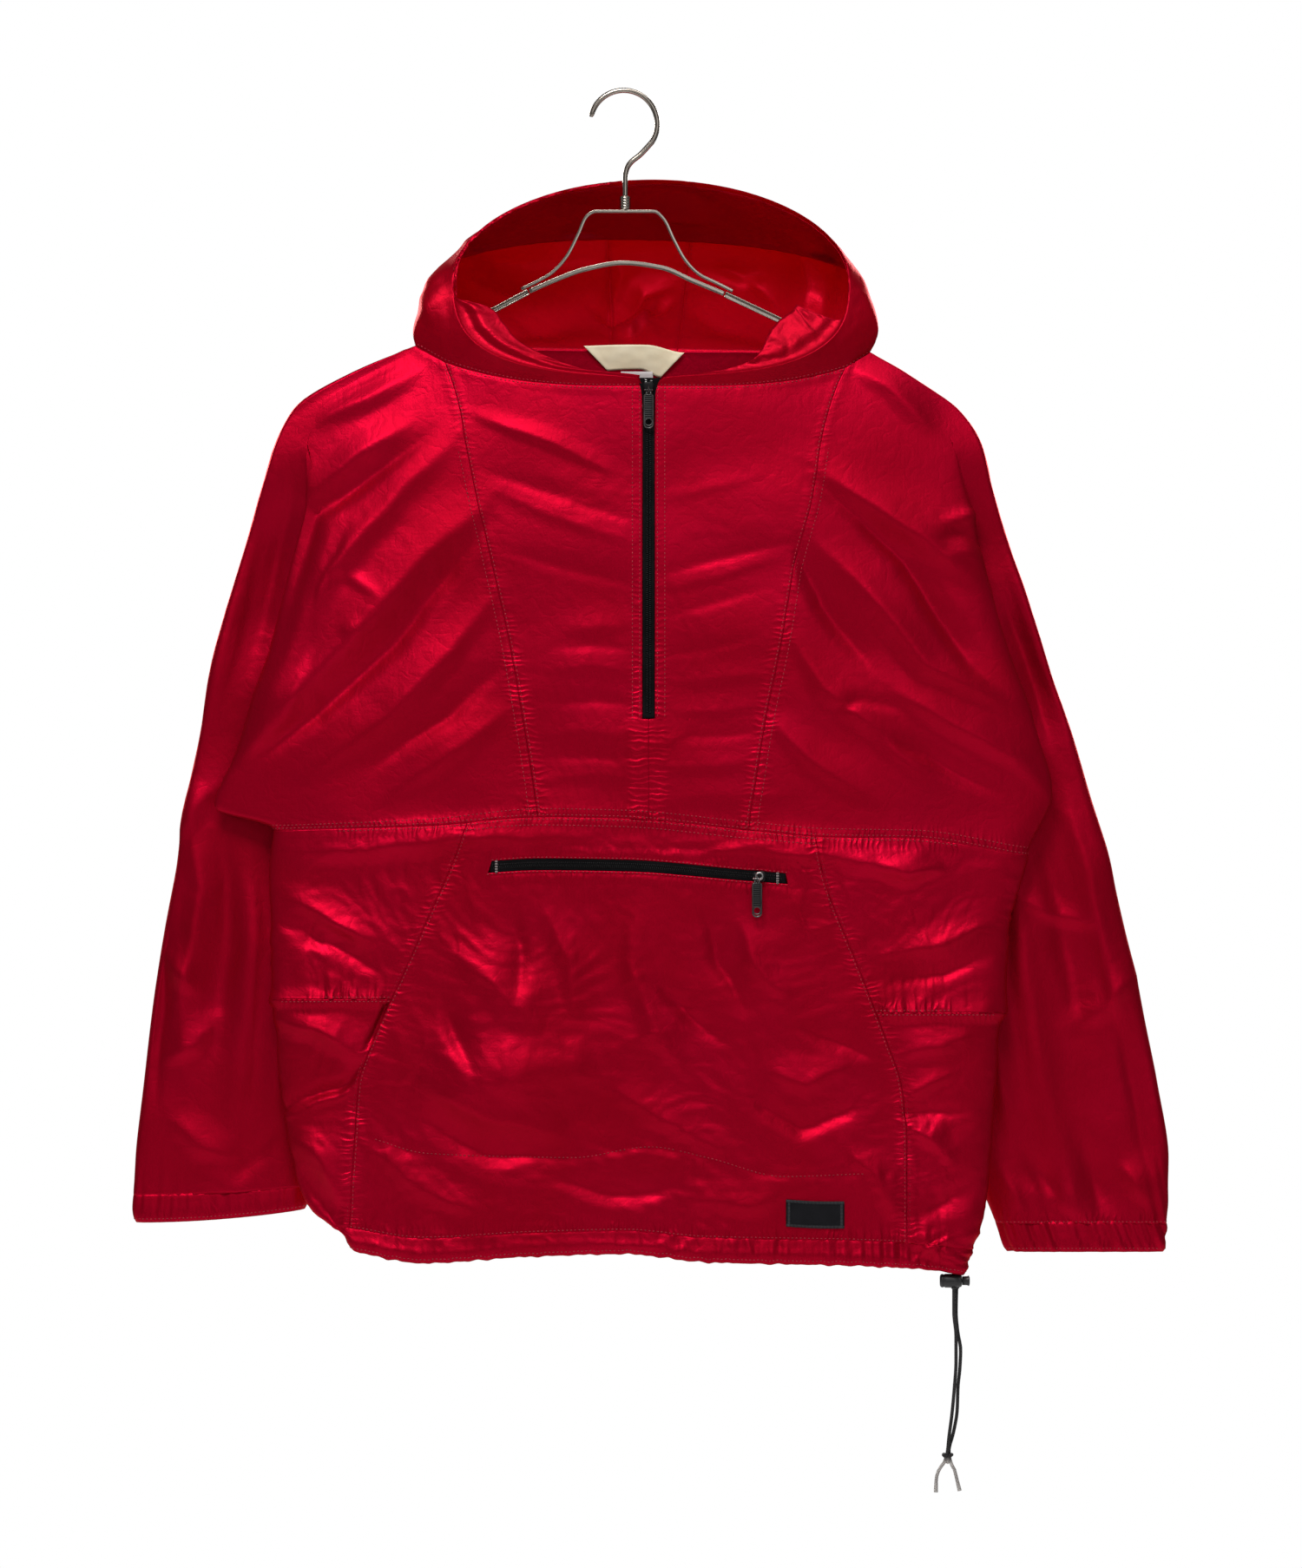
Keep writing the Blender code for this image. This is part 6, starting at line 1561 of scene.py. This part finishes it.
# ---- zips: woven tape, coil teeth, slider and pull tab
zipParts = {
    "toothPitch": 1.5, "toothLength": 2.3, "toothThick": 0.85, "toothRise": 0.9, "tapeLift": 0.2,
    "frontSlider": (19.0, 224.0), "pocketSlider": 101.5,
    "front": {"pivot": (19.0, -40.5356, -225.5)}, "pocket": {"pivot": (99.8, -47.2794, -589.7477)},
    "tab": {"width": 7.6, "length": 29.0, "eyeUp": 5.2, "eye": 2.3, "rim": 0.62, "ribs": 11, "thick": 0.9},
}


def tapePoint(which, along, across):
    if which == "front":
        x, drop = zips["frontAt"] + across, along + 0 * across
        return stack(x, frontFace(x, drop), -drop)
    x, nominal = along + 0 * across, zips["pocketDrop"] + across
    point = place(x, frontY(x, zips["pocketDrop"] + 0 * x), nominal)
    point[..., 1] -= frontRelief(x, -point[..., 2])
    return point


def makeZip(which, start, end, closedFrom, closedTo):
    node = which + "_zip"
    along = np.linspace(start, end, 120)[:, None]
    half = (zips[which + "Half"] - 0.3) * np.ones(along.shape)
    if which == "front":
        # the tape's top end spreads over the neck seam as a funnel
        half = half + 5.2 * np.exp(-np.maximum(along - start, 0) / 6.5)
    across = np.linspace(-1, 1, 13)[None] * half
    tape = tapePoint(which, along, across)
    tape[..., 1] -= zipParts["tapeLift"] + 0.35 * smooth((np.abs(across) - 4.0) / 1.5)
    meshObject(which + "ZipTape", tape, None, "tapeWeave", node + "_tape", "zip_tape", wall=0.5)
    # interlocked coil: each tooth is a small rounded block that leans across the middle
    lists = {"closed": [], "open": []}
    long, wide = zipParts["toothLength"] / 2, zipParts["toothThick"] / 2
    faces = np.array([(0, 1, 5), (0, 5, 4), (1, 2, 6), (1, 6, 5), (2, 3, 7), (2, 7, 6), (3, 0, 4), (3, 4, 7), (4, 5, 6),
                      (4, 6, 7)])
    for n in range(int((end - start - 4) / zipParts["toothPitch"])):
        at = start + 2 + n * zipParts["toothPitch"]
        shut = closedFrom <= at <= closedTo
        for way in (-1, 1):
            spot = tapePoint(which, np.array(at + 0.37 * way), np.array(way * (1.0 if shut else 1.9)))
            lean = 0.22 * way
            u, v = ((1, 0, lean), (-lean, 0, 1)) if which == "front" else ((lean, 0, -1), (1, 0, lean))
            u, v = np.array(u) * long, np.array(v) * wide
            block = [spot + u * a * narrow + v * b * thin + (0, -rise, 0)
                     for narrow, thin, rise in ((1, 1, 0.2), (0.72, 0.6, 0.35 + zipParts["toothRise"]))
                     for a, b in ((-1, -1), (1, -1), (1, 1), (-1, 1))]
            lists["closed" if shut else "open"].append((np.array(block), faces))
    meshObject(which + "ZipCoil", *joined(lists["closed"]), "toothNylon", node + "_coil", "zip_coil", shade=False)
    if lists["open"]:
        meshObject(which + "ZipTopTeeth", *joined(lists["open"]), "toothSilver", None, "zip_coil", shade=False)


def makeSlider(which, centre, upright):
    # a hollow-bodied slider: two plates joined by a nose, with a raised bridge that holds the tab
    x, y, z = centre
    way = np.array([0, 0, -1.0]) if upright else np.array([-1.0, 0, 0])
    at = np.linspace(-4.6, 4.6, 19)
    route = np.array([x, y, z]) + at[:, None] * way
    width = pchip([-4.6, -4.0, -2.6, 0, 2.6, 4.1, 4.6], [2.2, 3.4, 3.9, 3.5, 3.0, 2.6, 1.8], at)
    plates = joined([tube(route + (0, 0.75, 0), width, 22, (1.0, 0.16)),
                     tube(route - (0, 0.85, 0), width * 0.94, 22, (1.0, 0.17)),
                     tube(route[:5], width[:5] * 0.45, 14, (1.0, 0.5))])
    meshObject(which + "ZipSlider", *plates, "blackEnamel", which + "_zip_slider", "slider")
    px, py, pz = zipParts[which]["pivot"]
    parts = [tube([(px + s, y - 0.9, pz), (px + s, py + 0.8, pz), (px + s * 0.72, py, pz)], 0.62, 10)
             for s in (-2.9, 2.9)]
    parts.append(tube([(px - 2.4, py, pz), (px + 2.4, py, pz)], 0.6, 12))
    if not upright:
        turn = circle(25)
        parts.append(tube(stack(x + 2.5 * np.cos(turn), y - 1.75, z + 0.3 + 2.5 * np.sin(turn)), 0.75, 10, caps=False))
    finish = "wornEdge" if upright else "toothSilver"
    meshObject(which + "ZipBridge", *joined(parts), finish, which + "_zip_bail", "bail")


def makeTab(which, bodyName):
    size = zipParts["tab"]
    px, py, pz = zipParts[which]["pivot"]
    half, top, bottom = size["width"] / 2 - size["rim"], -3.6, -size["length"] + size["rim"]
    outline = []
    for corner, high, cz, start in ((3.0, 3.0, bottom + 3.0, -90), (1.7, 1.0, top - 1.0, 0), (1.7, 1.0, top - 1.0, 90),
                                    (3.0, 3.0, bottom + 3.0, 180)):
        middle = (half - corner) * (1 if start < 90 else -1)
        for angle in np.radians(np.linspace(start, start + 90, 7)):
            outline.append((middle + corner * math.cos(angle), cz + high * math.sin(angle)))
    outline = np.array(outline)
    rim = stack(px + outline[:, 0], py, pz + outline[:, 1])
    rim = np.append(rim, rim[:1], 0)
    turn, eye = circle(25), size["eye"] + 0.45
    eyeZ = pz - size["length"] + size["eyeUp"]
    ring = stack(px + eye * np.cos(turn), py, eyeZ + eye * np.sin(turn))
    knuckle = stack(px, py + 1.35 * np.cos(turn), pz + 1.35 * np.sin(turn))
    shoulders = [tube([(px + s * 1.2, py, pz - 1.3), (px + s * 2.1, py, pz - 3.9)], 0.7, 10) for s in (-1, 1)]
    metal = [tube(rim, size["rim"], 10, caps=False), tube(ring, 0.5, 10, caps=False),
             tube(knuckle, 1.0, 10, flat=(0.55, 1.7), caps=False)] + shoulders
    meshObject(which + "TabRim", *joined(metal), "wornEdge", None, "pull_tab", bodyName)
    # ribbed plate inside the rim, down to the eye
    plateTop, plateEnd = pz + top, eyeZ + size["eye"] + 0.4
    pieces = []
    cross = np.linspace(-1, 1, 9)
    for face in (-1, 1):
        z = np.linspace(plateTop, plateEnd, 66)[:, None]
        rib = 0.34 * np.maximum(0, np.cos((z - plateTop) / (plateEnd - plateTop) * 2 * math.pi * size["ribs"])) ** 0.8
        y = py + face * (size["thick"] / 2 + rib * (1 - np.abs(cross) ** 6))
        grid = stack(px + half * cross, y, z)
        faces = gridFaces(*grid.shape[:2])
        pieces.append((grid.reshape(-1, 3), faces if face < 0 else faces[:, ::-1]))
    meshObject(which + "TabPlate", *joined(pieces), "blackEnamel", which + "_zip_tab", "pull_tab", bodyName)


def makeZips():
    makeZip("front", 216.0, zips["frontEnd"] - 0.8, zipParts["frontSlider"][1], 999.0)
    makeZip("pocket", zips["pocketEnds"][0] + 0.6, zips["pocketEnds"][1] - 0.6, -999.0, 999.0)
    x, drop = zipParts["frontSlider"]
    makeSlider("front", (x, frontY(x, drop) - 3.6, -drop), True)
    x, drop = zipParts["pocketSlider"], zips["pocketDrop"]
    x, y, z = place(x, frontY(x, drop), drop)
    makeSlider("pocket", (x, y - 3.6, z), False)
    makeTab("front", "front_zip_pull")
    makeTab("pocket", "pocket_zip_pull")
    # pale tacks that close the ends of the pocket's slot
    for x in (-94.6, 115.2):
        line = np.array([tapePoint("pocket", np.array(x), np.array(v)) for v in (-4.6, -2, 0, 2, 4.6)])
        for side in (-0.6, 0.0, 0.6):
            moved = line + np.array([side, -0.8, 0])
            stitchAlong(moved, np.tile([0.0, -1.0, 0.0], (5, 1)), "paleThread", 1.7, 1.9, 0.34, 0.5)


makeZips()
print("zips made")

# ---- cord lock: a ribbed barrel with two short collars beneath it, and its plunger
lock = {"at": (245.2, -23.0, -891.0), "length": 16.4, "plungerLength": 5.6}


def makeLock():
    x, y, z = lock["at"]
    half = lock["length"] / 2
    at = np.array([0, 0.5, 1.2, 2.2, 2.6, 3.4, 3.8, 4.6, 6.7, 10.7, 13.0, 13.4, 15.0, 15.9, 16.4]) - half
    size = [3.4, 4.5, 5.0, 5.15, 4.75, 4.75, 5.2, 5.2, 5.25, 5.25, 5.2, 4.9, 4.9, 4.6, 3.6]
    barrel = tube(stack(x + at, y, z), size, 32)
    collars = [tube([(x + a, y + 0.5 * b, z - 4.6), (x + a, y + 0.5 * b, z - 5.9)], 2.0, 16)
               for a, b in ((2.2, -2), (4.4, 3))]
    meshObject("cordLockBarrel", *joined([barrel] + collars), "mouldedLock", "cord_lock_barrel", "lock")
    start = x + half + 0.3
    at = np.array([0, 0.01, 3.6, 4.6, 5.3, lock["plungerLength"]])
    size = [2.0, 3.3, 3.4, 3.9, 3.8, 2.6]
    meshObject("cordLockPlunger", *tube(stack(start + at, y, z), size, 28), "mouldedLock", "cord_lock_plunger", "lock")


makeLock()
print("cord lock made")

# ---- hanger: wire hook in a ferrule, strip yoke, arch bar and two channel arms
hanger = {
    "wire": 2.1, "hookCentre": (0.3, -23.1), "hookRadius": 25.2,
    "neck": ((12.6, -46.4), (5.6, -52.2), (2.3, -57.5), (1.4, -64.0), (1.4, -77.0)),
    "ferrule": (1.4, -77.4, -87.6, 4.2), "depth": 6.0,
    "yoke": (2.3, ((-76.7, -147.5), (-65.0, -141.8), (-54.0, -135.4), (-42.9, -123.4), (-33.8, -106.0), (-27.3, -92.6),
                   (-21.0, -89.1), (1.0, -89.1), (23.0, -89.1), (29.9, -94.3), (37.7, -109.9), (46.8, -126.1),
                   (57.9, -137.0), (68.9, -142.4), (82.2, -149.0))),
    "arch": (3.4, ((-70.6, -149.2), (-52.0, -141.0), (-29.3, -132.8), (0.0, -127.8), (28.6, -131.4), (52.4, -141.4),
                   (75.6, -151.0))),
    "arm_right": (4.4, ((-71.4, -149.6), (-92.3, -160.6), (-122.0, -176.3), (-156.0, -194.6), (-181.0, -206.0),
                        (-206.0, -216.6), (-230.0, -229.6), (-240.0, -236.6))),
    "arm_left": (4.4, ((76.4, -151.5), (115.0, -169.7), (150.8, -187.2), (185.0, -201.6), (212.0, -216.8),
                       (235.0, -230.6), (247.0, -239.0))),
}


def sweep(name, node, path, section):
    # a rolled section carried along a path in the hanger's plane; the section is (across, depth) points
    route, _ = routeThrough([(x, 0.0, z) for x, z in path], 2.5)
    along = unit(np.gradient(route, axis=0))
    up = stack(-along[:, 2], 0.0, along[:, 0])
    points = route[:, None] + up[:, None] * section[:, :1] + (0, 1.0, 0) * section[:, 1:]
    count = len(section)
    faces = triangulate(ringFaces(len(route), count))
    ends = []
    for base in (0, (len(route) - 1) * count):
        middle = len(route) * count + len(ends)
        ends.append(points[0 if base == 0 else -1].mean(0))
        j = np.arange(count)
        n = (j + 1) % count
        cap = np.stack([j * 0 + middle, base + j, base + n], -1)
        faces = np.concatenate([faces, cap if base == 0 else cap[:, ::-1]])
    thing = meshObject(name, np.concatenate([points.reshape(-1, 3), ends]), faces, "satinSteel", node, "hanger_metal",
                       shade=False)
    edge = thing.modifiers.new("rolledEdge", "BEVEL")
    edge.width, edge.segments, edge.limit_method = 0.22 * mm, 2, "ANGLE"


def makeHanger():
    turn = np.radians(np.linspace(168, -34, 60))
    cx, cz = hanger["hookCentre"]
    hook = stack(cx + hanger["hookRadius"] * np.cos(turn), 0.0, cz + hanger["hookRadius"] * np.sin(turn))
    neck, _ = routeThrough([tuple(hook[-1])] + [(x, 0.0, z) for x, z in hanger["neck"]], 2.0)
    route = np.concatenate([hook, neck[1:]])
    size = np.full(len(route), hanger["wire"])
    size[0], size[1] = 1.2, 1.9
    meshObject("hangerHook", *tube(route, size, 20), "satinSteel", "hanger_hook", "hanger_metal")
    x, top, bottom, radius = hanger["ferrule"]
    at = ramp(41)
    size = radius * (0.93 + 0.07 * np.abs(np.cos(at * math.pi * 5)) ** 0.6)
    size[[0, 1, -2, -1]] = radius * np.array([0.6, 0.86, 0.86, 0.6])
    route = stack(x, 0.0, mix(top, bottom, at))
    meshObject("hangerFerrule", *tube(route, size, 28), "satinSteel", "hanger_ferrule", "hanger_metal")
    for name in ("yoke", "arch", "arm_right", "arm_left"):
        width, path = hanger[name]
        u, d = width / 2, hanger["depth"] / 2
        section = [(-u, d), (u, d), (u, -d), (-u, -d)]
        if name.startswith("arm"):
            # rolled channel, open to the front
            section[3:3] = [(u - 0.9, -d), (u - 0.9, d - 1.2), (-u + 0.9, d - 1.2), (-u + 0.9, -d)]
        sweep("hanger" + name.title().replace("_", ""), "hanger_" + name, path, np.array(section, float))


makeHanger()
print("hanger made")

for thread, lines in stitching.items():
    meshObject(thread + "Stitches", *joined(lines), thread, None, "hem_patch" if thread == "patchThread" else "shell")
print("stitches laid")
